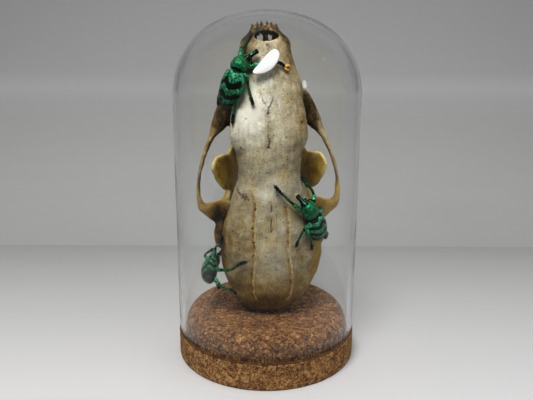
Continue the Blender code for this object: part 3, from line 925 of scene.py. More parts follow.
@dataclass(frozen=True)
class Enamel:
    """Tooth enamel: smooth and a little glossy, ivory at the tip and stained brown towards the root.

    It reads the attribute along, which runs from zero at the root to one at the tip.
    """

    name: str
    root: str
    tip: str
    cloud: float = 1.1

    def material(self) -> Finish:
        """Builds the material.

        Returns:
            The material.
        """
        made, tree, shader, place = new_material(self.name)
        cloud = add_node(tree, "TexNoise", {"Vector": place, "Scale": 1 / self.cloud,
                                            "Detail": 4.0}).outputs["Fac"]
        along = add_node(tree, "Attribute", attribute_name="along").outputs["Fac"]
        value = add_node(tree, "Math", {0: cloud, 1: 0.6, 2: along}, operation="MULTIPLY_ADD").outputs[0]
        stops = ((0.3, self.root), (1.0, self.tip))
        colour = add_node(tree, "ValToRGB", {"Fac": value}, stops=stops).outputs[0]
        bump = add_node(tree, "Bump", {"Height": cloud, "Strength": 0.3, "Distance": 0.1 * MM}).outputs[0]
        plug_in(tree, shader, {"Base Color": colour, "Normal": bump, "Roughness": 0.3})
        return made


@dataclass(frozen=True)
class SpeckledPaint:
    """Plain matt paint, lightly clouded, whose tone changes along one axis.

    The tones are places in millimetres and colours, the first and the last place first.
    """

    name: str
    axis: int
    tones: Stops
    cloud: float
    drift: float
    stretch: Place = (1.0, 1.0, 1.0)

    def material(self) -> Finish:
        """Builds the material.

        Returns:
            The material.
        """
        made, tree, shader, place = new_material(self.name)
        along = add_node(tree, "SeparateXYZ", {0: place}).outputs[self.axis]
        drawn = add_node(tree, "Mapping", {"Vector": place, "Scale": self.stretch}).outputs[0]
        cloud = add_node(tree, "TexNoise", {"Vector": drawn, "Scale": 1 / self.cloud,
                                            "Detail": 5.0}).outputs["Fac"]
        lift = add_node(tree, "Math", {0: cloud, 1: 0.5}, operation="SUBTRACT").outputs[0]
        low, high = self.tones[0][0], self.tones[1][0]
        shifted = add_node(tree, "Math", {0: lift, 1: self.drift, 2: along},
                           operation="MULTIPLY_ADD").outputs[0]
        share = add_node(tree, "MapRange", {"Value": shifted, "From Min": low, "From Max": high}).outputs[0]
        stops = [((spot - low) / (high - low), tone) for spot, tone in self.tones]
        colour = add_node(tree, "ValToRGB", {"Fac": share}, stops=stops).outputs[0]
        plug_in(tree, shader, {"Base Color": colour, "Roughness": 0.75})
        return made


@dataclass(frozen=True)
class AmberHorn:
    """Clear yellow-brown horn of an insect's claws: glossy, brighter at the tip."""

    name: str = "amber_claw_horn"
    shades: Stops = ((0.3, "#e08a20"), (0.7, "#ffc860"))
    cloud: float = 0.4

    def material(self) -> Finish:
        """Builds the material.

        Returns:
            The material.
        """
        made, tree, shader, place = new_material(self.name)
        cloud = add_node(tree, "TexNoise", {"Vector": place, "Scale": 1 / self.cloud,
                                            "Detail": 2.0}).outputs["Fac"]
        colour = add_node(tree, "ValToRGB", {"Fac": cloud}, stops=self.shades).outputs[0]
        plug_in(tree, shader, {"Base Color": colour, "Roughness": 0.35})
        return made


# Pieces


def fix(piece: Piece, node: str) -> None:
    """Rides the piece on the one body, in the place of a solid.

    Args:
        piece: the finished piece.
        node: the solid that it stands for.
    """
    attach(piece, ROOT)
    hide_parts(node)
    log.info("%s: %d points, stands for %s", piece.name, len(piece.data.vertices), node)


@dataclass
class CorkBase:
    """The cork disc with its rounded plug, pressed as one piece."""

    middle: float = 0.6
    radius: float = 28.2
    height: float = 8.4
    edge: float = 0.5
    plug_radius: float = 26.0
    plug_top: float = 14.8
    shoulder: float = 4.3
    around: int = 260
    grit: float = 0.05
    grit_size: float = 0.9
    chip: float = 0.22
    chip_size: float = 2.4
    plain_below: float = 0.3

    def profile(self) -> Array:
        """The outline from the middle of the plug's top, over its rounded shoulder, to the underside.

        Returns:
            Radii and heights.
        """
        inner, low = self.plug_radius - self.shoulder, self.radius - self.edge
        return np.vstack([
            np.linspace((self.middle, self.plug_top), (inner, self.plug_top), 24, endpoint=False),
            arc((inner, self.plug_top - self.shoulder), self.shoulder, 0, 90, 16),
            np.linspace((self.plug_radius, self.height + 1.6), (self.plug_radius, self.height), 4),
            np.linspace((self.plug_radius + 0.2, self.height), (low, self.height), 6, endpoint=False),
            arc((low, self.height - self.edge), self.edge, 0, 90, 5),
            np.linspace((self.radius, self.height - 0.8), (self.radius, 0.9), 14),
            arc((low, self.edge), self.edge, 90, 180, 5),
            np.linspace((low - 1, 0.0), (self.middle, 0.0), 8),
        ])

    def build(self) -> Piece:
        """Turns the profile and presses the grit and chips into it, inwards from the solid's surface.

        Returns:
            The dressed piece.
        """
        skin = Skin()
        skin.add(turned_rings(self.profile(), self.around))
        mesh = skin.mesh("cork_disc_and_plug")
        points, normals = points_of(mesh), normals_of(mesh)
        depth = self.grit * (1 + ripple(points, self.grit_size, 3)) * 0.5
        depth += self.chip * step_between(1.5, 2.4, ripple(points, self.chip_size, 4))
        depth *= points[:, 2] > self.plain_below
        set_points(mesh, points - normals * np.maximum(depth, 0.0)[:, None])
        radius = np.hypot(points[:, 0], points[:, 1])
        # Painted shadow: the cork is darker in the gap under the glass rim
        keep_mark(mesh, "rim_shadow", step_between(26.0, 26.8, radius) * step_between(8.0, 8.25, points[:, 2]))
        # Painted shade on the plug, against the lamps above it
        keep_mark(mesh, "plug", step_between(8.5, 9.0, points[:, 2]))
        # Pressed granulated cork: a matt warm brown, broken up by pale crumbs and dark bark specks, with
        # painted shade on the plug and in the gap under the glass rim.
        piece = add_piece("cork_disc_and_plug", mesh, PressedCork().material())
        fix(piece, "cork_base")
        return piece


@dataclass
class GlassDome:
    """The blown glass bell, open below, with a fire-rounded rim that stands on the disc."""

    radius: float = 28.0
    wall: float = 1.5
    rim: float = 8.7
    shoulder: float = 81.5
    top: float = 106.3
    fullness: float = 2.15
    below_cap: float = 6.0
    above_rim: float = 2.0
    around: int = 200

    def cap(self, radius: float, top: float) -> Array:
        """A full rounded cap: an angle's sine and cosine, each to the power 2 / fullness, times its sizes.

        Args:
            radius: the cap's half width.
            top: the height of its top.

        Returns:
            Radii and heights, from the top down to the shoulder.
        """
        turn = np.linspace(0.03, np.pi / 2, 44)
        return np.stack([radius * np.sin(turn) ** (2 / self.fullness),
                         self.shoulder + (top - self.shoulder) * np.cos(turn) ** (2 / self.fullness)], axis=1)

    def build(self) -> Piece:
        """Turns the outer curve, the half-round rim and the inner curve.

        Returns:
            The dressed piece.
        """
        bore, half = self.radius - self.wall, self.wall / 2
        high, low = self.shoulder - self.below_cap, self.rim + half + self.above_rim
        outer, inner = (np.vstack([self.cap(radius, top), np.linspace((radius, high), (radius, low), 10)])
                        for radius, top in ((self.radius, self.top), (bore, self.top - self.wall)))
        rim = arc((bore + half, self.rim + half), half, 90, 270, 13)
        skin = Skin()
        skin.add(turned_rings(np.vstack([outer, rim, inner[::-1]]), self.around))
        # Blown soda-lime glass: clear, with a grey line at its edges and one small bright highlight.
        piece = add_piece("glass_bell", skin.mesh("glass_bell"), BlownGlass().material())
        piece.visible_shadow = False
        piece.visible_diffuse = False
        fix(piece, "glass_dome")
        return piece


@dataclass(frozen=True)
class SkullPose:
    """How the skull stands on the plug: it leans a little to its right and turns a little on its own axis."""

    foot: Place = (2.0, 0.0, 15.1)
    lean: float = -1.75
    turn: float = 3.0

    def world(self, points: Array) -> Array:
        """Carries points from the skull's own frame to the part's: turned about Y, then Z, then moved.

        Args:
            points: places in the skull's own frame.

        Returns:
            The same places in the part's frame.
        """
        about_z = Matrix.Rotation(math.radians(self.turn), 3, "Z")
        turn = about_z @ Matrix.Rotation(math.radians(self.lean), 3, "Y")
        return np.asarray(points, float) @ np.array(turn).T + np.asarray(self.foot)


@dataclass
class Bone:
    """What the cranium and the lower jaw share: sections, bars, lumps and teeth in the skull's own frame."""

    pose: SkullPose = field(default_factory=SkullPose)
    occiput_shift: float = -1.3
    occiput_reach: float = 20.0

    def loft(self, stations: Rows, rings: int, around: int = 64) -> Array:
        """Rounded-box rings along Z. The lowest rings shift sideways by a square law.

        Args:
            stations: for each its height, half width, depth of its widest line, depth of its top side, depth
                of its under side and squareness.
            rings: how many rings are drawn through the stations.
            around: points in a ring.

        Returns:
            Rings in the part's frame.
        """
        rows = through(stations, rings)[:, :, None]
        z, half, wide, top, under, square = (rows[:, k] for k in range(6))
        side, rise = rounded_box(round_angles(around)[None], square)
        reach = np.where(rise < 0, wide - top, under - wide)
        bend = self.occiput_shift * np.clip(1 - z / self.occiput_reach, 0, None) ** 2
        points = np.stack([bend + half * side, wide + reach * rise, z + 0 * side], axis=-1)
        return self.pose.world(points)

    def bar(self, stations: Rows, flat: Row, side: int, rings: int = 60, around: int = 24) -> Array:
        """Oval rings along a bar, closing round at its ends.

        Args:
            stations: for each its middle's three places, half thickness and half size along flat.
            flat: the way that the ovals' tall side keeps to.
            side: one or minus one, for the right or the left.
            rings: how many rings are drawn through the stations.
            around: points in a ring.

        Returns:
            Rings in the part's frame.
        """
        rows = through(stations, rings)
        path = rows[:, :3] * (side, 1, 1)
        place = np.arange(rings)
        ends = np.sin(np.pi * np.clip(np.minimum(place, rings - 1 - place) + 1, 0, 4) / 8)
        return self.pose.world(oval_rings(path, rows[:, 3] * ends, rows[:, 4] * ends, flat, around))

    def lump(self, middle: Row, half_sizes: Row, side: int = 1) -> Array:
        """Rings of an ellipsoid on one side of the skull."""
        return self.pose.world(ball_rings(np.multiply(middle, (side, 1, 1)), half_sizes))

    def tooth(self, root: Row, tip: Row, thick: float, side: int, bend: float = 0.12) -> Array:
        """A pointed tooth: its size falls from the root as the root of one minus the height to the power 1.6.

        The middle line bows by the bend times its length.

        Args:
            root: where it leaves the bone.
            tip: its point.
            thick: half its size at the root.
            side: one or minus one, for the right or the left.
            bend: how far the middle line bows.

        Returns:
            Rings in the part's frame.
        """
        start, end = np.multiply(root, (side, 1, 1)), np.multiply(tip, (side, 1, 1))
        t = np.linspace(0, 1, 14)
        bow = np.array([0.0, -1.0, 0.2]) * np.linalg.norm(end - start) * bend
        path = start + (end - start) * (t * 1.15 - 0.15)[:, None] + bow * np.sin(np.pi * t)[:, None]
        size = thick * (1 - t**1.6) ** 0.6 + 0.05
        return self.pose.world(oval_rings(path, size * 0.8, size, (0.0, 1.0, 0.3), 14))

    def relief(self, mesh: Mesh, rounds: int) -> tuple[Array, Array, Array]:
        """How far each point stands above the surface softened over its neighbours.

        Args:
            mesh: the bone's mesh.
            rounds: how far the softening reaches.

        Returns:
            The points, their outward ways and their heights over the softened surface.
        """
        points, normals = points_of(mesh), normals_of(mesh)
        calm = relaxed(mesh, points, rounds)
        return points, normals, ((points - calm) * normals).sum(axis=1)

    def teeth(self, name: str, rows: Sequence[tuple[Row, Row, float]], enamel: Enamel, node: str,
              slot: str) -> Piece:
        """Builds both sides' teeth as one piece.

        Args:
            name: the piece's name.
            rows: each tooth's root, tip and half size.
            enamel: the finish.
            node: the solid that the piece stands for.
            slot: not used.

        Returns:
            The dressed piece.
        """
        skin = Skin()
        for side in (-1, 1):
            for root, tip, thick in rows:
                rings = self.tooth(root, tip, thick, side)
                skin.add(rings, along=np.linspace(0, 1, len(rings))[:, None])
        piece = add_piece(name, skin.mesh(name), enamel.material())
        fix(piece, node)
        return piece


@dataclass
class Cranium(Bone):
    """The skull with its cheek arches, ear capsules and nose opening.

    Stations and lumps are in the skull's own frame, marks and places in the part's.
    """

    grain: float = 0.38
    braincase: Rows = (
        (0.0, 3.4, -1.8, -5.2, 2.0, 2.1),
        (0.6, 6.2, -1.4, -7.0, 4.4, 2.2),
        (2.4, 9.0, -1.0, -8.8, 7.2, 2.2),
        (6.0, 12.0, -0.8, -10.6, 8.8, 2.2),
        (13.0, 15.1, -0.8, -12.3, 9.6, 2.2),
        (20.0, 15.8, -1.0, -13.0, 9.6, 2.2),
        (27.0, 14.8, -1.5, -13.2, 9.4, 2.2),
        (34.0, 12.4, -2.2, -12.9, 9.1, 2.2),
        (40.0, 10.4, -3.4, -12.5, 8.8, 2.2),
        (45.0, 9.1, -5.0, -12.0, 6.0, 2.3),
        (50.0, 9.7, -6.5, -11.6, 1.5, 2.4),
        (55.5, 11.4, -7.0, -11.0, -2.0, 2.5),
        (61.0, 10.9, -6.0, -10.1, -1.5, 2.5),
        (66.0, 10.4, -4.6, -9.0, 0.5, 2.4),
        (70.0, 10.3, -2.6, -8.0, 5.0, 2.3),
        (73.5, 9.0, -0.6, -6.9, 7.6, 2.3),
        (77.0, 8.2, 0.6, -5.6, 8.3, 2.3),
        (80.5, 7.6, 1.6, -4.2, 8.6, 2.3),
        (82.3, 7.3, 2.4, -3.2, 8.6, 2.2),
        (83.6, 6.6, 3.2, -1.6, 8.4, 2.1),
        (84.8, 5.4, 4.0, 0.6, 7.8, 2.0),
        (86.0, 4.6, 4.8, 2.6, 7.4, 2.0),
    )
    orbit_wall: Rows = (
        (38.0, 6.0, 3.0, -6.0, 9.0, 2.4),
        (46.0, 6.2, 2.0, -8.0, 9.6, 2.4),
        (56.0, 6.0, 2.0, -8.0, 9.8, 2.4),
        (66.0, 7.4, 2.0, -6.5, 9.6, 2.4),
        (74.0, 6.5, 2.0, -4.0, 9.0, 2.4),
    )
    palate: Rows = (
        (36.0, 4.4, 8.6, 6.0, 10.0, 2.2),
        (44.0, 5.4, 8.6, 5.6, 10.4, 2.4),
        (51.0, 7.0, 8.6, 5.6, 10.8, 2.6),
        (54.5, 9.0, 8.4, 5.4, 10.8, 2.6),
        (57.6, 12.2, 8.2, 5.2, 10.8, 2.6),
        (65.0, 12.0, 7.8, 4.2, 10.6, 2.6),
        (70.0, 10.2, 7.0, 2.4, 10.0, 2.5),
        (76.0, 8.4, 6.4, 2.0, 9.4, 2.4),
        (82.0, 7.2, 6.0, 2.4, 9.0, 2.3),
        (84.6, 5.2, 5.6, 2.8, 8.4, 2.2),
        (86.2, 4.4, 5.6, 3.6, 7.6, 2.1),
        (87.0, 2.6, 5.6, 4.6, 6.8, 2.0),
    )
    arch: Rows = (
        (8.6, 7.0, 67.5, 3.4, 2.6),
        (11.6, 7.2, 63.2, 3.4, 2.5),
        (14.6, 6.9, 58.6, 2.6, 2.3),
        (17.8, 6.0, 53.4, 0.95, 2.1),
        (20.2, 4.9, 48.0, 0.6, 1.9),
        (21.9, 4.2, 42.0, 0.6, 1.9),
        (22.4, 4.2, 36.4, 0.75, 1.9),
        (21.6, 4.6, 32.2, 1.5, 1.8),
        (19.2, 4.8, 30.9, 2.6, 1.5),
        (16.2, 4.5, 30.2, 4.1, 1.6),
        (12.0, 3.6, 29.6, 4.9, 2.2),
    )
    lumps: Sequence[tuple[Row, Row]] = (
        ((8.3, 9.6, 20.0), (4.7, 6.2, 8.2)),
        ((15.6, 3.2, 23.2), (2.5, 3.4, 4.8)),
        ((11.2, 8.2, 12.6), (1.8, 3.4, 1.9)),
        ((4.3, 6.2, 2.6), (2.7, 2.5, 2.6)),
        ((5.9, 4.6, 80.4), (1.8, 4.2, 3.0)),
        ((10.9, 11.0, 59.2), (2.6, 1.6, 1.7)),
        ((1.1, 5.0, 85.65), (3.6, 2.4, 2.65)),
    )
    nose_opening: tuple[Row, Row] = ((0.45, 1.5, 83.25), (3.85, 4.6, 2.5))
    palate_holes: Sequence[tuple[Row, Row]] = (
        ((-1.25, 6.0, 83.8), (1.05, 6.0, 1.5)),
        ((1.8, 6.0, 83.9), (0.9, 6.0, 1.45)),
    )
    neck_opening: tuple[Row, Row] = ((0.0, 2.6, 0.6), (4.6, 2.9, 4.4))
    upper_teeth: Sequence[tuple[Row, Row, float]] = (
        ((0.7, 4.2, 85.4), (0.9, 4.2, 88.95), 0.7),
        ((2.0, 4.2, 85.0), (2.1, 4.3, 88.7), 0.65),
        ((3.4, 4.6, 84.4), (3.7, 4.8, 88.1), 0.8),
        ((5.9, 7.4, 81.0), (6.1, 15.6, 82.0), 1.9),
        ((7.2, 8.6, 77.0), (7.3, 11.2, 77.2), 1.1),
        ((8.2, 8.8, 73.8), (8.4, 12.2, 74.0), 1.5),
        ((9.6, 9.0, 69.8), (9.9, 12.8, 70.2), 1.8),
        ((11.2, 9.0, 65.0), (11.7, 13.4, 65.6), 2.2),
        ((11.4, 9.0, 62.0), (11.9, 12.2, 62.2), 1.8),
    )
    # Marks on the top side, side and height in the part's frame
    temple_lines: Sequence[Rows] = (
        ((-4.0, 53.9), (-3.3, 51.2), (-3.5, 49.2), (-3.9, 46.0), (-3.9, 42.0), (-3.7, 38.9), (-3.9, 35.0),
         (-4.3, 31.0), (-4.5, 26.5), (-4.4, 23.0), (-3.6, 21.0)),
        ((5.6, 50.6), (6.0, 47.6), (6.3, 43.0), (6.2, 38.6), (6.6, 34.9), (7.0, 31.0), (7.2, 26.8),
         (6.9, 23.1), (6.0, 20.6)),
    )
    sutures: Sequence[Rows] = (
        ((-1.9, 83.2), (-1.4, 81.9), (-0.8, 80.5), (0.1, 79.3), (0.6, 79.2), (1.1, 79.9), (1.5, 81.0),
         (1.7, 82.2)),
        ((0.35, 79.2), (0.3, 77.2)),
        ((-7.5, 67.8), (-6.7, 67.5)),
        ((0.3, 77.2), (0.5, 72.0), (0.5, 68.2)),
        ((1.3, 51.6), (1.3, 49.6)),
        ((1.4, 47.4), (1.4, 43.4)),
        ((-0.2, 96.7), (0.0, 93.9)),
        ((0.4, 96.7), (0.3, 93.9)),
        ((-2.0, 101.6), (-2.6, 103.4)),
        ((-0.9, 101.4), (-1.2, 103.6)),
        ((0.3, 100.8), (0.4, 103.6)),
        ((1.6, 101.5), (2.0, 103.4)),
        ((-3.2, 100.6), (-3.9, 102.0)),
        ((3.0, 101.0), (3.6, 102.6)),
    )
    cracks: Sequence[Rows] = (
        ((-8.9, 55.1), (-8.3, 54.4), (-7.6, 53.9), (-6.9, 53.7), (-6.2, 53.5), (-5.4, 52.8)),
        ((-7.6, 53.9), (-6.8, 53.0), (-6.2, 52.6)),
    )
    ridge_offset: float = 0.55
    unmarked: float = 3.0
    # Each mark's height over the bone, less than zero where it is sunk, and its half width
    forms: Sequence[tuple[str, float, float]] = (
        ("ridge", 0.17, 0.6),
        ("temple", -0.08, 0.4),
        ("seam", -0.04, 0.5),
        ("crack", -0.1, 0.55),
    )
    pits: Sequence[tuple[float, float, float]] = (
        (0.3, 77.7, 0.28), (0.5, 68.2, 0.36), (0.0, 60.8, 0.25), (-5.9, 76.1, 0.2), (-0.9, 84.2, 0.2),
        (10.1, 75.0, 0.35), (-3.4, 50.0, 0.4), (-4.1, 44.4, 0.35), (-3.7, 40.1, 0.35), (-3.8, 36.0, 0.25),
        (0.3, 37.1, 0.2), (2.8, 38.3, 0.2), (-7.4, 68.0, 0.2), (5.4, 71.0, 0.15),
    )
    middle_line: float = 0.6
    # Middle and spread of the painted shade inside the nose
    nose_painted_shade: tuple[Row, Row] = ((0.5, 5.0, 98.6), (3.8, 2.6, 2.0))
    tone_by_height: Rows = (
        (14.0, 0.12), (16.5, 0.24), (20.0, 0.38), (26.0, 0.46), (34.0, 0.48), (44.0, 0.50), (52.0, 0.52),
        (60.0, 0.60), (68.0, 0.68), (78.0, 0.74), (86.0, 0.68), (92.0, 0.62), (96.5, 0.56), (98.5, 0.3),
        (100.5, 0.15), (105.0, 0.06),
    )
    # Middles, spreads and strengths of darker and paler places, in the part's frame. Some are the bone's own
    # patches; others are painted shade in the eye sockets and hollows, a painted shadow beside the upper
    # weevil's snout, painted light on the nose's middle wall, and painted shade and light across the
    # braincase against the key lamp.
    places: Sequence[tuple[Row, Row, float]] = (
        # Painted shade in the eye sockets and the hollows behind them
        ((12.6, 3.0, 76.0), (2.6, 6.0, 7.0), -1.0),
        ((-12.2, 3.0, 76.0), (2.6, 6.0, 7.0), -1.0),
        ((11.5, 8.0, 66.0), (3.0, 5.0, 8.0), -0.6),
        ((-10.8, 8.0, 66.0), (3.0, 5.0, 8.0), -0.6),
        ((1.0, -11.0, 20.8), (4.6, 4.0, 1.6), -0.2),
        # Painted shadow beside the upper weevil's snout, then painted shade at the eye sockets' edges and
        # deep in the left temple hollow
        ((-4.4, -3.0, 91.0), (1.5, 4.0, 2.6), -0.26),
        ((-13.4, 1.0, 76.5), (2.4, 6.0, 4.6), -0.4),
        ((14.4, 1.0, 77.0), (2.2, 6.0, 4.6), -0.15),
        ((-15.8, 4.0, 42.5), (1.5, 6.0, 4.5), -0.3),
        ((-1.2, -12.0, 55.0), (2.2, 3.0, 1.6), 0.14),
        ((9.6, -6.0, 80.0), (2.0, 6.0, 8.0), -0.22),
        ((8.6, -8.0, 66.0), (2.4, 6.0, 5.0), -0.16),
        ((-8.4, -8.0, 65.0), (2.0, 6.0, 4.0), -0.14),
        ((0.5, -12.0, 72.5), (1.4, 4.0, 3.6), -0.16),
        ((0.5, -12.0, 63.0), (9.0, 4.0, 3.4), -0.1),
        ((-3.0, -9.0, 80.0), (2.6, 5.0, 5.0), 0.14),
        ((6.6, -1.0, 93.5), (1.7, 5.0, 6.0), -0.34),
        ((-6.6, -1.0, 93.5), (1.9, 5.0, 6.0), -0.42),
        ((0.5, -4.0, 95.0), (3.0, 4.0, 3.0), 0.1),
        # Painted light on the nose's middle wall, which lies in shade
        ((0.3, 5.6, 99.4), (1.2, 1.6, 2.2), 0.7),
        ((0.5, -2.0, 96.6), (5.0, 5.0, 2.4), -0.1),
        ((6.5, -9.0, 78.0), (4.0, 5.0, 10.0), -0.1),
        ((-4.0, -10.0, 77.0), (4.0, 5.0, 6.0), 0.12),
        # Painted shade on the braincase's left and painted light on its middle, against the key lamp from the
        # left
        ((-11.5, -5.0, 40.0), (4.0, 6.0, 12.0), -0.12),
        ((1.5, -13.0, 38.0), (5.0, 4.0, 12.0), 0.08),
    )

    def skin(self) -> Skin:
        """Gathers the cranium's closed surfaces.

        Returns:
            All that it grows from.
        """
        gathered = Skin()
        gathered.add(self.loft(self.braincase, 150, 80))
        gathered.add(self.loft(self.orbit_wall, 50))
        gathered.add(self.loft(self.palate, 90))
        for side in (-1, 1):
            gathered.add(self.bar(self.arch, (0.0, 1.0, 0.0), side, 90))
            for middle, half_sizes in self.lumps:
                gathered.add(self.lump(middle, half_sizes, side))
        return gathered

    def hollows(self) -> list[Array]:
        """The nose opening, the two holes through the palate and the neck opening."""
        return [self.lump(*hollow) for hollow in (self.nose_opening, *self.palate_holes, self.neck_opening)]

    def carve(self, mesh: Mesh) -> Array:
        """Raises and sinks the marks, and keeps the distance to each for the finish.

        A ridge or a groove is a bell of the distance to its line in side and height. Only the top side takes
        it, and on the other sides the kept distance is large.

        Args:
            mesh: the grown bone.

        Returns:
            One for each point that lies between the temple lines, softly down to zero outside them.
        """
        points, normals = points_of(mesh), normals_of(mesh)
        flat = points[:, [0, 2]]
        top = step_between(-0.1, 0.35, -normals[:, 1])
        wavy = flat + 0.1 * np.stack([ripple(points, 3.0, 9), ripple(points, 3.0, 10)], axis=1)
        beside = wavy - (self.ridge_offset, 0.0)
        away = {
            name: np.min([distance_to_line(spots, line) for line in lines], axis=0)
            for name, lines, spots in (
                ("temple", self.temple_lines, wavy), ("ridge", self.temple_lines, beside),
                ("seam", self.sutures, wavy), ("crack", self.cracks, wavy))}
        from_pits = [np.linalg.norm(flat - (x, z), axis=1) - size for x, z, size in self.pits]
        away["pit"] = np.min(from_pits, axis=0)
        uneven = {"ridge": 0.5 + 0.5 * step_between(-0.9, 0.9, ripple(points, 2.6, 11))}
        lift = sum(height * bell(away[name], width) * uneven.get(name, 1.0)
                   for name, height, width in self.forms)
        soft = ripple(points, 9.0, 5) * 0.10 + ripple(points, 3.2, 6) * 0.04
        set_points(mesh, points + normals * (top * lift + soft)[:, None])
        for name, distance in away.items():
            keep_mark(mesh, name, np.clip(distance + self.unmarked * (1 - top), -1.0, self.unmarked))
        between = top * step_between(-3.6, -2.6, flat[:, 0]) * step_between(7.2, 6.2, flat[:, 0])
        return between * step_between(19.0, 24.0, flat[:, 1]) * step_between(50.0, 40.0, flat[:, 1])

    def tint(self, mesh: Mesh, between: Array) -> None:
        """Keeps the attributes tone, relief and grease.

        The tone follows the height, and the listed places, the underside, the arches, their roots, the inside
        of the nose and the snout's mottled tip change it; the darker inside of the nose and several of the
        places are painted shade and light.

        Args:
            mesh: the carved bone.
            between: one for each point that lies between the temple lines.
        """
        points, normals, relief = self.relief(mesh, 60)
        side, up = points[:, 0], points[:, 2]
        outward = np.abs(side - self.middle_line)
        arch = step_between(15.0, 18.0, outward) * step_between(52.0, 56.0, up)
        root = step_between(12.0, 14.0, outward) * step_between(58.0, 53.0, up)
        inside = blob(points, *self.nose_painted_shade)
        mottled = step_between(99.5, 101.0, up) * (0.14 * ripple(points, 1.3, 41) + 0.02)
        tone = np.interp(up, *np.transpose(self.tone_by_height))
        tone = tone + sum(strength * blob(points, middle, spread) for middle, spread, strength in self.places)
        tone -= 0.3 * step_between(-0.2, 0.9, normals[:, 1])
        tone -= arch * (0.3 + 0.25 * step_between(0.0, 1.4, ripple(points, 6.0, 8)))
        # The inside of the nose is darkened as painted shade.
        tone += 0.04 * between + mottled - (0.1 + 0.05 * np.sign(-side)) * root - 0.4 * inside
        grease = 0.05 + 0.1 * step_between(62.0, 46.0, up) + 0.9 * root + 0.4 * arch
        grease += 0.7 * step_between(34.0, 18.0, up) + 0.5 * step_between(97.5, 100.0, up)
        keep_mark(mesh, "tone", np.clip(tone, 0.02, 1.0))
        keep_mark(mesh, "relief", np.clip(relief / 0.5, -1.5, 1.0))
        keep_mark(mesh, "grease", np.clip(grease, 0, 1))

    def build(self) -> Piece:
        """Grows the bone, carves and tints it and sets the teeth.

        Returns:
            The dressed bone.
        """
        mesh = grown("skull_bone", self.skin(), self.hollows(), self.grain)
        self.tint(mesh, self.carve(mesh))
        # Dry skull bone: pale matt ivory, browner and darker low down, at the arches' roots and the tip, with
        # painted shade in its hollows, eye sockets and nose.
        finish = AgedBone("dry_skull_bone", (
            (0.0, "#120c06"), (1.0, "#f4f0e3"), (0.12, "#33250f"), (0.3, "#6a5838"), (0.48, "#958768"),
            (0.66, "#bab298"), (0.85, "#dedccc")), (
            (0.0, "#120b04"), (1.0, "#efe0aa"), (0.12, "#362205"), (0.3, "#6a4e12"), (0.48, "#977628"),
            (0.66, "#be9d44"), (0.85, "#dac88c")), (
            Mark("ridge", 0.05, 0.4, "#d6c68c", 0.75, 0.1, -0.1, 2.0, 0.6),
            Mark("temple", 0.1, 1.3, "#9a7436", 0.55, 0.0, -0.02, 3.0, 1.2),
            Mark("temple", 0.08, 0.5, "#8a6226", 0.75, -0.3, -0.05, 1.6, 0.9),
            Mark("temple", 0.12, 0.48, "#38220c", 0.8, -0.8, 0.09, 0.9, 1.3),
            Mark("seam", 0.3, 1.3, "#6f5c38", 0.36, -0.1, 0.0, 1.6, 1.4),
            Mark("seam", 0.04, 0.38, "#2c200d", 0.85, -0.4, -0.06, 1.2, 0.6),
            Mark("crack", 0.25, 0.6, "#583916", 0.85, -0.8, -0.12, 0.8, 2.2),
            Mark("pit", -0.1, 0.2, "#33230f", 0.85, -0.8, -0.5, 1.0, 0.9)))
        piece = add_piece("skull_bone", mesh, finish.material())
        fix(piece, "cranium")
        # Stained incisor enamel: dark brown points that stand out against the pale wall.
        incisors = 3
        self.teeth("incisors", self.upper_teeth[:incisors],
                   Enamel("stained_incisor_enamel", "#54401f", "#1c120a"), "cranium", "skull_bone")
        # Upper tooth enamel: smooth cream crowns with a soft gleam, brown at the gum line.
        self.teeth("upper_cheek_teeth", self.upper_teeth[incisors:],
                   Enamel("upper_tooth_enamel", GUM_BROWN, CREAM), "cranium", "skull_bone")
        return piece


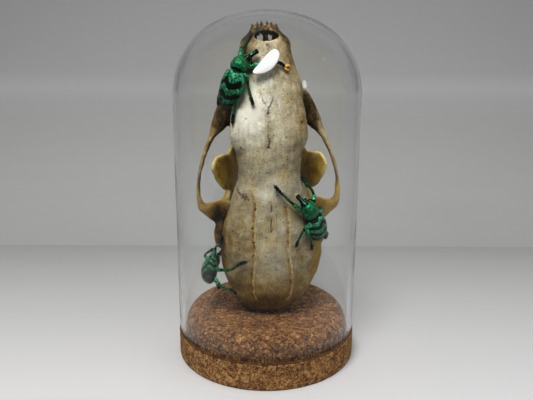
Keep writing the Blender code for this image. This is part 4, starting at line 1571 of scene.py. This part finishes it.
@dataclass
class LowerJaw(Bone):
    """The lower jaw: two halves grown together at the chin, with tall thin blades behind."""

    grain: float = 0.34
    body: Rows = (
        (1.0, 15.0, 79.6, 2.2, 2.6),
        (3.8, 15.6, 77.4, 2.3, 3.4),
        (6.4, 16.6, 72.0, 2.0, 3.8),
        (8.4, 17.4, 65.0, 2.0, 4.0),
        (9.6, 17.4, 57.0, 1.9, 4.2),
        (10.1, 16.4, 50.0, 1.6, 4.8),
        (11.0, 14.6, 43.0, 1.3, 4.6),
        (12.0, 13.2, 37.5, 1.1, 2.6),
        (12.3, 13.4, 34.6, 0.9, 1.2),
    )
    blade: Rows = (
        (10.2, 15.5, 47.5, 1.3, 7.4),
        (10.8, 10.5, 44.4, 1.1, 7.4),
        (11.8, 6.0, 43.4, 0.95, 6.8),
        (12.9, 2.0, 43.6, 0.8, 6.2),
        (14.2, -1.6, 45.2, 0.7, 5.3),
        (15.5, -4.2, 47.1, 0.6, 3.7),
        (16.5, -5.8, 48.7, 0.55, 2.1),
    )
    neck: Rows = (
        (11.6, 12.0, 40.0, 1.2, 3.4),
        (12.9, 10.4, 34.6, 1.4, 2.2),
        (13.8, 9.6, 32.0, 1.6, 1.6),
    )
    condyle: tuple[Row, Row] = ((14.4, 9.5, 31.4), (4.0, 1.7, 1.7))
    chin: tuple[Row, Row] = ((0.0, 15.2, 79.2), (3.2, 2.8, 2.2))
    lower_teeth: Sequence[tuple[Row, Row, float]] = (
        ((0.8, 13.4, 80.2), (0.8, 10.8, 81.9), 0.7),
        ((2.0, 13.4, 79.8), (2.0, 10.8, 81.5), 0.75),
        ((3.7, 14.4, 78.4), (4.0, 9.9, 80.6), 1.5),
        ((5.4, 14.2, 74.6), (5.4, 12.0, 74.8), 1.1),
        ((6.5, 14.4, 71.2), (6.5, 11.8, 71.4), 1.4),
        ((7.4, 14.6, 67.4), (7.4, 11.9, 67.6), 1.6),
        ((8.2, 14.8, 63.0), (8.1, 12.0, 63.6), 2.0),
        ((8.8, 14.8, 59.4), (8.7, 12.2, 59.6), 1.8),
    )

    def skin(self) -> Skin:
        """Gathers the jaw's closed surfaces.

        Returns:
            All that it grows from.
        """
        gathered = Skin()
        gathered.add(self.lump(*self.chin))
        for side in (-1, 1):
            gathered.add(self.bar(self.body, (0.0, 1.0, 0.0), side, 90))
            gathered.add(self.bar(self.blade, (0.0, 0.0, 1.0), side, 70, 36))
            gathered.add(self.bar(self.neck, (0.0, 1.0, 0.0), side, 30))
            gathered.add(self.lump(*self.condyle, side))
        return gathered

    def build(self) -> Piece:
        """Grows the jaw, keeps its attributes and sets the teeth.

        Returns:
            The dressed bone.
        """
        mesh = grown("jaw_bone", self.skin(), [], self.grain)
        points, normals = points_of(mesh), normals_of(mesh)
        soft = ripple(points, 7.0, 21) * 0.07 + ripple(points, 2.6, 22) * 0.03
        set_points(mesh, points + normals * soft[:, None])
        points, normals, relief = self.relief(mesh, 80)
        edge = step_between(0.12, 0.5, relief)
        tone = 0.47 + 0.16 * edge + 0.06 * ripple(points, 8.0, 23)
        # Painted light: the right side is made paler, as the skull shades its right blade from the key lamp.
        tone += 0.09 * step_between(-8.0, 10.0, points[:, 0])
        keep_mark(mesh, "tone", np.clip(tone, 0.05, 1.0))
        keep_mark(mesh, "relief", np.clip(relief / 0.6, -1.5, 1.0))
        keep_mark(mesh, "grease", np.clip(0.7 + 0.2 * ripple(points, 5.0, 24) - 0.4 * edge, 0, 1))
        # Greasy jaw bone: a deeper yellow than the skull, paler along its edges, and paler on its right side
        # as painted light where the skull shades it.
        finish = AgedBone("greasy_jaw_bone", (
            (0.0, "#1a1005"), (1.0, "#e2d6a4"), (0.2, "#4a3410"), (0.4, "#7d6327"), (0.6, "#a48b48"),
            (0.8, "#c6b272")), (
            (0.0, "#1a1003"), (1.0, "#dcc67a"), (0.2, "#4d3203"), (0.4, "#84630d"), (0.6, "#a9882c"),
            (0.8, "#c7aa50")), cool="#6f6440", cool_share=0.2)
        piece = add_piece("jaw_bone", mesh, finish.material())
        fix(piece, "lower_jaw")
        # Lower tooth enamel: smooth cream crowns with a soft gleam, brown at the gum line.
        self.teeth("lower_teeth", self.lower_teeth, Enamel("lower_tooth_enamel", GUM_BROWN, CREAM),
                   "lower_jaw", "jaw_bone")
        return piece


class LegPart(Enum):
    """Where along a leg each of its parts ends, as a share of the leg's length."""

    THIGH = 0.42
    SHIN = 0.76
    FOOT = 0.96


@dataclass
class Weevil:
    """One weevil: wing cases, shield, head with its snout, eyes, legs and feelers.

    Places are in the part's frame. The spine runs from the shoulders to the tail in back, from the shoulders
    to the neck in shield, and from the neck to the snout's end in head.
    """

    name: str
    back: Rows
    shield: Rows
    head: Rows
    faces: Row
    legs: Sequence[Rows]
    feelers: Sequence[Rows]
    case_half_width: float = 3.6
    case_half_height: float = 3.1
    shield_half_width: float = 2.85
    case_profile: Rows = (
        (0.0, 0.55), (0.05, 0.84), (0.14, 0.95), (0.38, 1.0), (0.6, 0.95), (0.78, 0.78), (0.9, 0.52),
        (0.97, 0.28), (1.0, 0.06))
    shield_profile: Rows = (
        (0.0, 0.55), (0.06, 0.86), (0.3, 1.0), (0.6, 0.93), (0.85, 0.7), (1.0, 0.45))
    head_profile: Rows = (
        (0.0, 1.25), (0.18, 1.3), (0.38, 0.86), (0.62, 0.66), (0.84, 0.74), (0.95, 0.78), (1.0, 0.3))
    leg_profile: Rows = (
        (0.0, 0.5), (0.1, 0.5), (0.26, 0.68), (0.38, 0.5), (0.43, 0.36), (0.48, 0.4), (0.6, 0.36),
        (0.72, 0.44), (0.765, 0.3), (0.80, 0.52), (0.835, 0.38), (0.87, 0.58), (0.905, 0.4), (0.94, 0.56),
        (0.965, 0.24), (1.0, 0.08))
    belly: float = 0.7
    bands: float = 3.9
    first_band: float = 0.38
    pit_rows: int = 26
    pit_pitch: float = 150.0
    pit_depth: float = 0.018
    groove_depth: float = 0.03
    limb_flat: Row = (0.31, 0.52, 0.8)

    def body_rings(self, spine: Rows, profile: Rows, wide: float, tall: float,
                   rings: int, around: int) -> tuple[Array, Array, Array]:
        """Rings of one body part: ovals along its spine, sized by its profile and flatter below.

        Args:
            spine: the part's middle line.
            profile: places along the spine, from zero to one, and shares of the full size there.
            wide: half the full width.
            tall: half the full height.
            rings: how many rings it has.
            around: points in a ring.

        Returns:
            The rings, each point's place along the spine from zero to one, and its angle.
        """
        path = even(through(spine, 60), rings)
        t = np.linspace(0, 1, rings)
        size = np.interp(t, *np.transpose(profile))
        points = oval_rings(path, wide * size, tall * size, self.faces, around, self.belly)
        grid = (rings, around)
        return points, np.broadcast_to(t[:, None], grid), np.broadcast_to(round_angles(around), grid)

    def add_case(self, skin: Skin) -> None:
        """Adds the wing cases: an egg with a groove along the middle, rows of pits and wavy black bands.

        A band is a raised cosine along the spine, bent forward towards the middle groove.

        Args:
            skin: the weevil's surfaces.
        """
        rings, t, angle = self.body_rings(self.back, self.case_profile, self.case_half_width,
                                          self.case_half_height, 72, 72)
        upper = step_between(-0.2, 0.3, np.sin(angle))
        from_middle = np.abs(angle - np.pi / 2)
        groove = bell(from_middle, 0.05) * upper
        rows = (0.5 + 0.5 * np.cos(angle * self.pit_rows)) * (0.5 + 0.5 * np.cos(t * self.pit_pitch)) * upper
        middle = rings.mean(axis=1, keepdims=True)
        sunk = self.groove_depth * groove + self.pit_depth * rows
        rings = middle + (rings - middle) * (1 - sunk)[..., None]
        wave = t * self.bands + self.first_band + 0.16 * np.cos(from_middle * 5.2) + 0.06 * np.sin(angle * 9)
        band = 0.5 - 0.5 * np.cos(2 * np.pi * wave)
        band = step_between(0.62, 0.88, band + 0.3 * t) + 0.3 * groove + 0.25 * rows
        # Black added towards the tail is partly painted shade, and the green's fall from the shoulders to the
        # tail below is partly a painted highlight on the shoulders.
        band += 0.9 * step_between(0.05, 0.0, t) + 0.4 * step_between(0.5, 0.95, t)
        band += 0.9 * step_between(-0.5, -0.9, np.sin(angle))
        skin.add(rings, green=0.7 - 0.55 * t, band=np.clip(band, 0, 1), blue=0.0)

    def add_shield(self, skin: Skin) -> None:
        """Adds the shield behind the head: a barrel, smooth green above and black below and at its ends.

        Args:
            skin: the weevil's surfaces.
        """
        rings, t, angle = self.body_rings(self.shield, self.shield_profile, self.shield_half_width,
                                          self.shield_half_width * 0.92, 36, 56)
        under = step_between(0.0, -0.5, np.sin(angle))
        ends = step_between(0.1, 0.02, t) + step_between(0.9, 1.0, t)
        band = np.clip(under + ends - 0.25, -0.25, 1)
        # The green is brightest along the top, partly a painted sheen.
        skin.add(rings, green=0.16 + 0.16 * np.sin(angle), band=band, blue=0.05)

    def add_head(self, skin: Skin) -> None:
        """Adds the head and its thick snout, black with green stripes, and an eye on each side.

        Args:
            skin: the weevil's surfaces.
        """
        rings, t, angle = self.body_rings(self.head, self.head_profile, 1.05, 1.0, 40, 40)
        stripe = bell(np.abs(angle - np.pi / 2) - 0.42, 0.2) * step_between(0.98, 0.7, t)
        skin.add(rings, green=0.95 * stripe, band=np.clip(0.95 - 1.3 * stripe, 0, 1), blue=0.1)
        path = even(through(self.head, 40), 40)
        way = unit(path[-1] - path[0])
        faces = np.asarray(self.faces, float)
        side = unit(np.cross(way, faces))
        for sign in (-1, 1):
            eye = path[12] + side * sign + unit(faces) * 0.25
            skin.add(ball_rings(eye, (0.5, 0.5, 0.55), 12, 16), green=0.0, band=1.0, blue=0.0)

    def add_limb(self, skin: Skin, places: Rows) -> None:
        """Adds a leg: a swollen thigh, a slimmer shin, three lobes of the foot and a claw.

        Args:
            skin: the weevil's surfaces.
            places: the leg's path.
        """
        path = even(through(places, 80), 84)
        t = np.linspace(0, 1, len(path))
        size = np.interp(t, *np.transpose(self.leg_profile))
        rings = oval_rings(path, size, size * 1.08, self.limb_flat, 16)
        thigh = step_between(LegPart.THIGH.value, LegPart.THIGH.value - 0.08, t) * step_between(0.02, 0.12, t)
        foot = step_between(LegPart.SHIN.value - 0.02, LegPart.SHIN.value + 0.02, t)
        knee = bell(t - LegPart.THIGH.value, 0.03)
        claw = step_between(LegPart.FOOT.value, 1.0, t)
        band = np.clip(0.7 * knee + 0.3 * foot + claw + step_between(0.1, 0.0, t), 0, 1)
        skin.add(rings, green=(0.18 + 0.34 * thigh)[:, None], band=band[:, None],
                 blue=(0.1 + 0.7 * foot)[:, None])

    def add_feeler(self, skin: Skin, places: Rows) -> None:
        """Adds a feeler: a thin dark stalk with a swollen club at its end.

        Args:
            skin: the weevil's surfaces.
            places: the feeler's path.
        """
        path = even(through(places, 40), 40)
        t = np.linspace(0, 1, len(path))
        size = 0.2 + 0.06 * np.sin(t * 60) + 0.26 * bell(t - 0.9, 0.09)
        size[-2:] *= (0.7, 0.3)
        rings = oval_rings(path, size, size, self.limb_flat, 10)
        skin.add(rings, green=0.3, band=(0.35 + 0.6 * t)[:, None], blue=0.3)

    def build(self) -> Piece:
        """Gathers the parts in one mesh in the scaled shell.

        Returns:
            The dressed weevil.
        """
        skin = Skin()
        self.add_case(skin)
        self.add_shield(skin)
        self.add_head(skin)
        for places in self.legs:
            self.add_limb(skin, places)
        for places in self.feelers:
            self.add_feeler(skin, places)
        mesh = skin.mesh(self.name + "_body")
        # Metallic scales on black shell: glittering green broken by ragged black bands.
        piece = add_piece(self.name + "_body", mesh, ScaledShell(self.name + "_metallic_scales").material())
        fix(piece, self.name)
        return piece


def upper_weevil() -> Weevil:
    """Places the weevil on the left of the snout.

    Returns:
        The weevil.
    """
    return Weevil(
        "weevil_upper",
        back=((-8.3, -7.9, 89.2), (-9.6, -8.3, 86.0), (-12.3, -5.2, 78.6)),
        shield=((-8.3, -7.9, 89.2), (-7.3, -7.2, 91.2), (-5.9, -6.8, 92.5)),
        head=((-6.3, -6.9, 92.1), (-4.6, -6.7, 93.6), (-2.5, -6.4, 94.9)),
        faces=(-0.6, -0.75, 0.25),
        legs=(
            ((-7.6, -6.6, 91.6), (-7.6, -5.4, 93.6), (-7.2, -3.9, 95.5), (-5.4, -1.6, 98.0),
             (-4.5, 0.6, 99.4)),
            ((-6.6, -7.0, 90.8), (-4.6, -7.3, 90.6), (-2.0, -7.2, 91.2), (2.8, -6.5, 91.7),
             (5.3, -5.9, 90.5)),
            ((-8.8, -8.0, 88.2), (-5.9, -9.4, 87.9), (-5.1, -9.2, 84.3), (-3.8, -10.1, 79.7)),
            ((-9.4, -8.3, 86.4), (-7.0, -9.9, 85.0), (-8.6, -9.6, 80.9), (-9.6, -9.5, 76.6),
             (-9.9, -9.3, 74.2)),
            ((-9.8, -7.6, 88.0), (-12.0, -4.2, 88.0), (-11.4, -2.2, 85.6)),
            ((-10.4, -7.6, 84.8), (-13.9, -4.0, 82.4), (-14.6, 0.2, 78.8)),
        ),
        feelers=(((-4.3, -6.7, 93.8), (-4.4, -7.6, 92.0), (-4.1, -7.5, 90.2)),),
    )


def right_weevil() -> Weevil:
    """Places the weevil on the right of the braincase, walking up.

    Returns:
        The weevil.
    """
    return Weevil(
        "weevil_right",
        back=((13.2, -10.5, 47.6), (14.6, -9.7, 44.4), (15.6, -8.4, 39.6)),
        shield=((13.2, -10.5, 47.6), (12.3, -11.0, 49.7), (10.9, -11.6, 51.6)),
        head=((11.3, -11.5, 51.1), (10.0, -11.9, 52.7), (8.7, -12.2, 54.3)),
        faces=(0.72, -0.66, 0.2),
        legs=(
            ((11.8, -11.0, 49.6), (9.9, -11.8, 49.9), (6.0, -13.2, 53.4), (1.9, -13.3, 57.7)),
            ((12.6, -10.4, 50.0), (13.9, -8.4, 52.0), (13.5, -7.0, 54.6), (10.8, -7.3, 57.6),
             (10.4, -7.2, 59.4)),
            ((13.6, -10.4, 46.2), (10.7, -12.6, 43.6), (9.4, -13.0, 41.0), (8.5, -13.0, 38.6)),
            ((14.0, -10.0, 44.6), (12.0, -12.2, 43.4), (13.3, -10.9, 39.8), (13.7, -9.9, 36.6)),
            ((14.4, -9.8, 46.6), (16.6, -6.6, 48.6), (17.0, 0.6, 46.9)),
            ((15.0, -9.2, 43.0), (18.5, -5.8, 41.0), (18.2, -3.2, 38.2)),
        ),
        feelers=(((10.6, -11.7, 52.0), (12.6, -10.4, 52.6), (14.4, -8.8, 51.6)),),
    )


def left_weevil() -> Weevil:
    """Places the weevil low on the left, seen from behind.

    Returns:
        The weevil.
    """
    return Weevil(
        "weevil_left",
        back=((-17.4, 0.8, 27.9), (-17.6, -3.0, 27.2), (-17.3, -7.4, 25.4)),
        shield=((-17.4, 0.8, 27.9), (-16.9, 3.0, 28.3), (-16.2, 5.0, 28.7)),
        head=((-16.5, 4.4, 28.6), (-15.8, 6.2, 29.0), (-15.0, 8.2, 29.6)),
        faces=(-0.98, -0.1, 0.15),
        legs=(
            ((-17.0, 2.0, 28.6), (-16.8, 0.0, 31.0), (-15.9, -2.2, 35.0), (-13.6, -7.4, 38.2),
             (-13.5, -7.2, 41.0)),
            ((-17.2, -1.6, 27.6), (-14.2, -7.0, 29.2), (-11.0, -10.9, 30.6), (-7.8, -12.7, 33.3),
             (-5.3, -13.4, 34.3)),
            ((-17.4, -4.4, 26.8), (-14.2, -7.6, 24.4), (-10.6, -9.0, 23.4), (-9.0, -9.2, 21.8)),
            ((-17.4, -3.0, 27.0), (-15.4, -6.4, 24.6), (-14.8, -4.8, 22.0)),
            ((-17.4, 2.0, 28.2), (-20.0, 2.2, 30.6), (-17.4, 5.6, 31.6)),
            ((-17.6, -1.0, 27.4), (-20.6, 0.6, 25.4), (-17.6, 2.6, 22.8)),
        ),
        feelers=(((-15.9, 6.0, 28.9), (-17.6, 6.8, 29.6), (-18.6, 8.0, 28.6)),),
    )


@dataclass
class ClawTips:
    """Two amber claw tips beyond the upper weevil's foot."""

    tips: Sequence[Rows] = (
        ((5.2, -5.9, 90.5), (5.9, -5.3, 90.75), (6.6, -4.75, 90.6)),
        ((5.0, -6.2, 89.9), (5.6, -5.8, 89.6), (6.2, -5.4, 89.5)),
    )
    thick: float = 0.34

    def build(self) -> Piece:
        """Tapers each tip along its curve.

        Returns:
            The dressed piece.
        """
        skin = Skin()
        for places in self.tips:
            path = even(through(places, 20), 16)
            size = self.thick * np.sin(np.linspace(0.5, np.pi - 0.25, len(path))) ** 0.6
            skin.add(oval_rings(path, size, size, (0.0, 0.0, 1.0), 12))
        # Amber horn: small warm orange points, the only orange in the picture.
        piece = add_piece("amber_claw_tips", skin.mesh("amber_claw_tips"), AmberHorn().material())
        fix(piece, "weevil_upper")
        return piece


@dataclass
class WhiteLeaf:
    """The thin white leaf at the upper weevil's foreleg, pointed below and rounded above."""

    start: Place = (-3.9, -8.9, 88.8)
    end: Place = (3.0, -7.1, 94.8)
    faces: Place = (0.06, -0.93, 0.36)
    half_width: float = 1.96
    thick: float = 0.225
    crown: float = 0.16
    sag: float = 0.85
    skew: float = 1.36
    fullness: float = 0.36

    def build(self) -> Piece:
        """Carries a flat oval section from end to end, crowned in the middle, along a line that sags.

        Its half width is the sine of a skewed share of the length, to the power of the fullness.

        Returns:
            The dressed piece.
        """
        t = np.linspace(0.004, 0.996, 60)
        start, end = np.array(self.start), np.array(self.end)
        faces = unit(np.array(self.faces))
        across = unit(np.cross(end - start, faces))
        half = self.half_width * np.sin(np.pi * t**self.skew) ** self.fullness + 0.02
        middle = start + (end - start) * t[:, None] + across * self.sag * np.sin(np.pi * t**0.8)[:, None]
        angle = round_angles(40)[None]
        u, rise = np.cos(angle), np.sin(angle)
        bow = self.crown * np.sin(np.pi * t)[:, None] * (1 - u**2)
        rings = (middle[:, None] + across * (half[:, None] * u)[..., None]
                 + faces * (bow + self.thick * rise)[..., None])
        skin = Skin()
        rim = step_between(0.88, 0.97, u) * np.ones_like(bow)
        skin.add(rings, across=np.cos(18 * u) * np.ones_like(bow), rim=rim)
        # Dried white petal: the whitest, smoothest thing in the picture, with a faint edge line.
        piece = add_piece("white_petal", skin.mesh("white_petal"), ThinPetal().material())
        fix(piece, "white_leaf")
        return piece


# Stage, camera and light


@dataclass
class Stage:
    """A plain pale floor with a grey one beyond it, open on every side.

    Neither is mirrored at its first bounce. The pale one is painted darker in front, painted shade that keeps
    the glass clear, and a little darker towards its far edge as painted shade; the grey one is painted
    lighter further out, painted light against the lamps' falloff. Their tones are places along Y and colours,
    the first and the last place first.
    """

    edge: float = 98.7
    half_width: float = 2500.0
    front: float = -1600.0
    far: float = 1700.0
    top: float = 900.0
    # Painted shade: darker in front and towards the far edge
    pale_tones: Stops = ((-140.0, "#353536"), (98.0, "#868787"), (-95.0, "#4a4a4b"), (-62.0, "#7a7a7c"),
                         (-33.0, "#b9b9bb"))
    # Painted light: lighter further out, against the lamps' falloff
    grey_tones: Stops = ((98.0, "#8f9090"), (1100.0, "#ffffff"), (200.0, "#a1a1a1"), (380.0, "#bbbbbb"),
                         (700.0, "#e2e2e2"))

    def sheet(self, name: str, rows: Rows, finish: SpeckledPaint) -> Piece:
        """Draws a profile out to both sides, as part of the stage.

        Args:
            name: the sheet's name.
            rows: the profile's depths and heights.
            finish: its paint.

        Returns:
            The sheet.
        """
        table = np.asarray(rows, float)
        side = np.linspace(-self.half_width, self.half_width, 3)
        points = np.stack([np.broadcast_to(side, (len(table), 3)), np.repeat(table[:, :1], 3, axis=1),
                           np.repeat(table[:, 1:], 3, axis=1)], axis=-1)
        index = np.arange(len(table) * 3).reshape(-1, 3)
        faces = np.stack([index[:-1, :-1], index[:-1, 1:], index[1:, 1:], index[1:, :-1]], axis=-1)
        mesh = bpy.data.meshes.new(name)
        mesh.from_pydata(points.reshape(-1, 3) * MM, [], faces.reshape(-1, 4).tolist())
        laid = add_piece(name, mesh, finish.material())
        laid.visible_glossy = False
        return laid

    def build(self) -> list[Piece]:
        """Lays the pale floor and the grey one, which bends up at its far end.

        Returns:
            The two boards.
        """
        rise = self.top / 3
        bend = arc((self.far, rise), rise, 180, 90, 12)
        # White painted board: a pale matt ground with hardly any grain, with painted shade in front and
        # towards its far edge.
        near = self.sheet("pale_floor", ((self.front, 0.0), (self.edge, 0.0)),
                          SpeckledPaint("white_painted_board", 1, self.pale_tones, 20.0, 14.0,
                                        (0.12, 1.0, 1.0)))
        # Grey painted board: a plain light grey wall that shows the dome's outline, painted lighter further
        # out as painted light.
        far = self.sheet("grey_floor", np.vstack([(self.edge, 0.0), bend, (self.far + rise, self.top)]),
                         SpeckledPaint("grey_painted_board", 1, self.grey_tones, 45.0, 40.0))
        return [near, far]


class Gloss(Enum):
    """Where a light is mirrored."""

    NOWHERE = 0
    ALL_BUT_GLASS = 1
    EVERYWHERE = 2


class SoftBox(Enum):
    """The studio's lights: place, aim, width and height, power in watts, colour and which gloss shows it."""

    KEY = ((-90.0, -200.0, 510.0), (0.0, -20.0, 70.0), 260.0, 200.0, 3.35, "#fffdf8", Gloss.ALL_BUT_GLASS)
    FILL = ((420.0, -200.0, 260.0), (0.0, 0.0, 60.0), 300.0, 300.0, 0.55, "#f8faff", Gloss.NOWHERE)
    TOP = ((0.0, 10.0, 600.0), (0.0, 10.0, 40.0), 300.0, 240.0, 1.0, "#ffffff", Gloss.NOWHERE)
    FAR = ((0.0, 1500.0, 1200.0), (0.0, 1500.0, 0.0), 3000.0, 2000.0, 8.0, "#ffffff", Gloss.NOWHERE)
    BACK = ((150.0, 420.0, 330.0), (0.0, 0.0, 60.0), 260.0, 260.0, 0.9, "#f8faff", Gloss.NOWHERE)
    SPARKLE = ((320.0, -322.0, 220.0), (0.0, 0.0, 80.0), 36.0, 76.0, 0.035, "#ffffff", Gloss.EVERYWHERE)
    GLINT = ((372.0, 7.0, 366.0), (0.0, 0.0, 80.0), 12.0, 12.0, 0.006, "#ffffff", Gloss.EVERYWHERE)


@dataclass
class Studio:
    """The camera at the photograph's angle, plain soft light and a surround that is dimmer in front."""

    glass: Piece
    boards: list[Piece]
    place: Place = (-0.03, -181.0, 97.5)
    pitch: float = 14.84
    roll: float = 0.22
    focal: float = 600.0
    image_width: float = 533.0
    sensor: float = 36.0
    surround: Stops = ((0.0, "#2c2d2e"), (1.0, "#9fa0a0"), (0.5, "#464748"), (0.72, "#585959"))

    def build(self) -> None:
        """Sets the camera, the soft boxes and the surround."""
        self.set_camera()
        for box in SoftBox:
            self.hang(box)
        self.set_surround()
        bpy.context.scene.view_settings.view_transform = "Standard"

    def set_camera(self) -> None:
        """Stands the camera at the photograph's place, tilted by its pitch and roll."""
        scene = bpy.context.scene
        camera = bpy.data.objects.new("camera", bpy.data.cameras.new("camera"))
        scene.collection.objects.link(camera)
        tilt = Matrix.Rotation(math.radians(90 - self.pitch), 4, "X")
        turn = tilt @ Matrix.Rotation(math.radians(self.roll), 4, "Z")
        camera.matrix_world = Matrix.Translation(Vector(self.place) * MM) @ turn
        camera.data.sensor_fit = "HORIZONTAL"
        camera.data.sensor_width = self.sensor
        camera.data.lens = self.focal * self.sensor / self.image_width
        camera.data.clip_start = 0.005
        camera.data.clip_end = 20.0
        scene.camera = camera

    def hang(self, box: SoftBox) -> None:
        """Hangs one soft box, aimed and kept off what it shall not light.

        Args:
            box: which of the lights it is.
        """
        place, aim, wide, high, power, colour, in_gloss = box.value
        lamp = bpy.data.lights.new(box.name.lower() + "_soft_box", "AREA")
        lamp.shape = "ELLIPSE" if in_gloss is Gloss.EVERYWHERE else "RECTANGLE"
        lamp.size, lamp.size_y = wide * MM, high * MM
        lamp.energy = power
        lamp.color = linear(colour)[:3]
        stand = bpy.data.objects.new(lamp.name, lamp)
        bpy.context.scene.collection.objects.link(stand)
        stand.visible_glossy = in_gloss is not Gloss.NOWHERE
        stand.visible_transmission = in_gloss is Gloss.EVERYWHERE
        kept_off = {SoftBox.KEY: [self.glass], SoftBox.BACK: self.boards}.get(box, [])
        if kept_off:
            flagged = bpy.data.collections.new("flagged_from_" + lamp.name)
            for number, thing in enumerate(kept_off):
                flagged.objects.link(thing)
                flagged.collection_objects[number].light_linking.link_state = "EXCLUDE"
            stand.light_linking.receiver_collection = flagged
        way = (Vector(aim) - Vector(place)).to_track_quat("-Z", "Y")
        stand.matrix_world = Matrix.Translation(Vector(place) * MM) @ way.to_matrix().to_4x4()

    def set_surround(self) -> None:
        """Colours the world by the way's depth: dim in front and brighter behind."""
        world = bpy.data.worlds.new("soft_surround")
        world.use_nodes = True
        tree = world.node_tree
        way = add_node(tree, "TexCoord").outputs["Generated"]
        depth = add_node(tree, "SeparateXYZ", {0: way}).outputs[1]
        share = add_node(tree, "MapRange", {"Value": depth, "From Min": -1.0, "From Max": 1.0}).outputs[0]
        shade = add_node(tree, "ValToRGB", {"Fac": share}, stops=self.surround).outputs[0]
        plug_in(tree, tree.nodes["Background"], {"Color": shade})
        bpy.context.scene.world = world


def main() -> None:
    """Builds every piece in order, then the stage, the camera and the light."""
    logging.basicConfig(level=logging.INFO, format="%(name)s: %(message)s", stream=sys.stdout)
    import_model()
    glass = GlassDome().build()
    for piece in (CorkBase(), Cranium(), LowerJaw(), upper_weevil(), right_weevil(), left_weevil(),
                  ClawTips(), WhiteLeaf()):
        piece.build()
    boards = Stage().build()
    Studio(glass, boards).build()


if __name__ == "__main__":
    main()
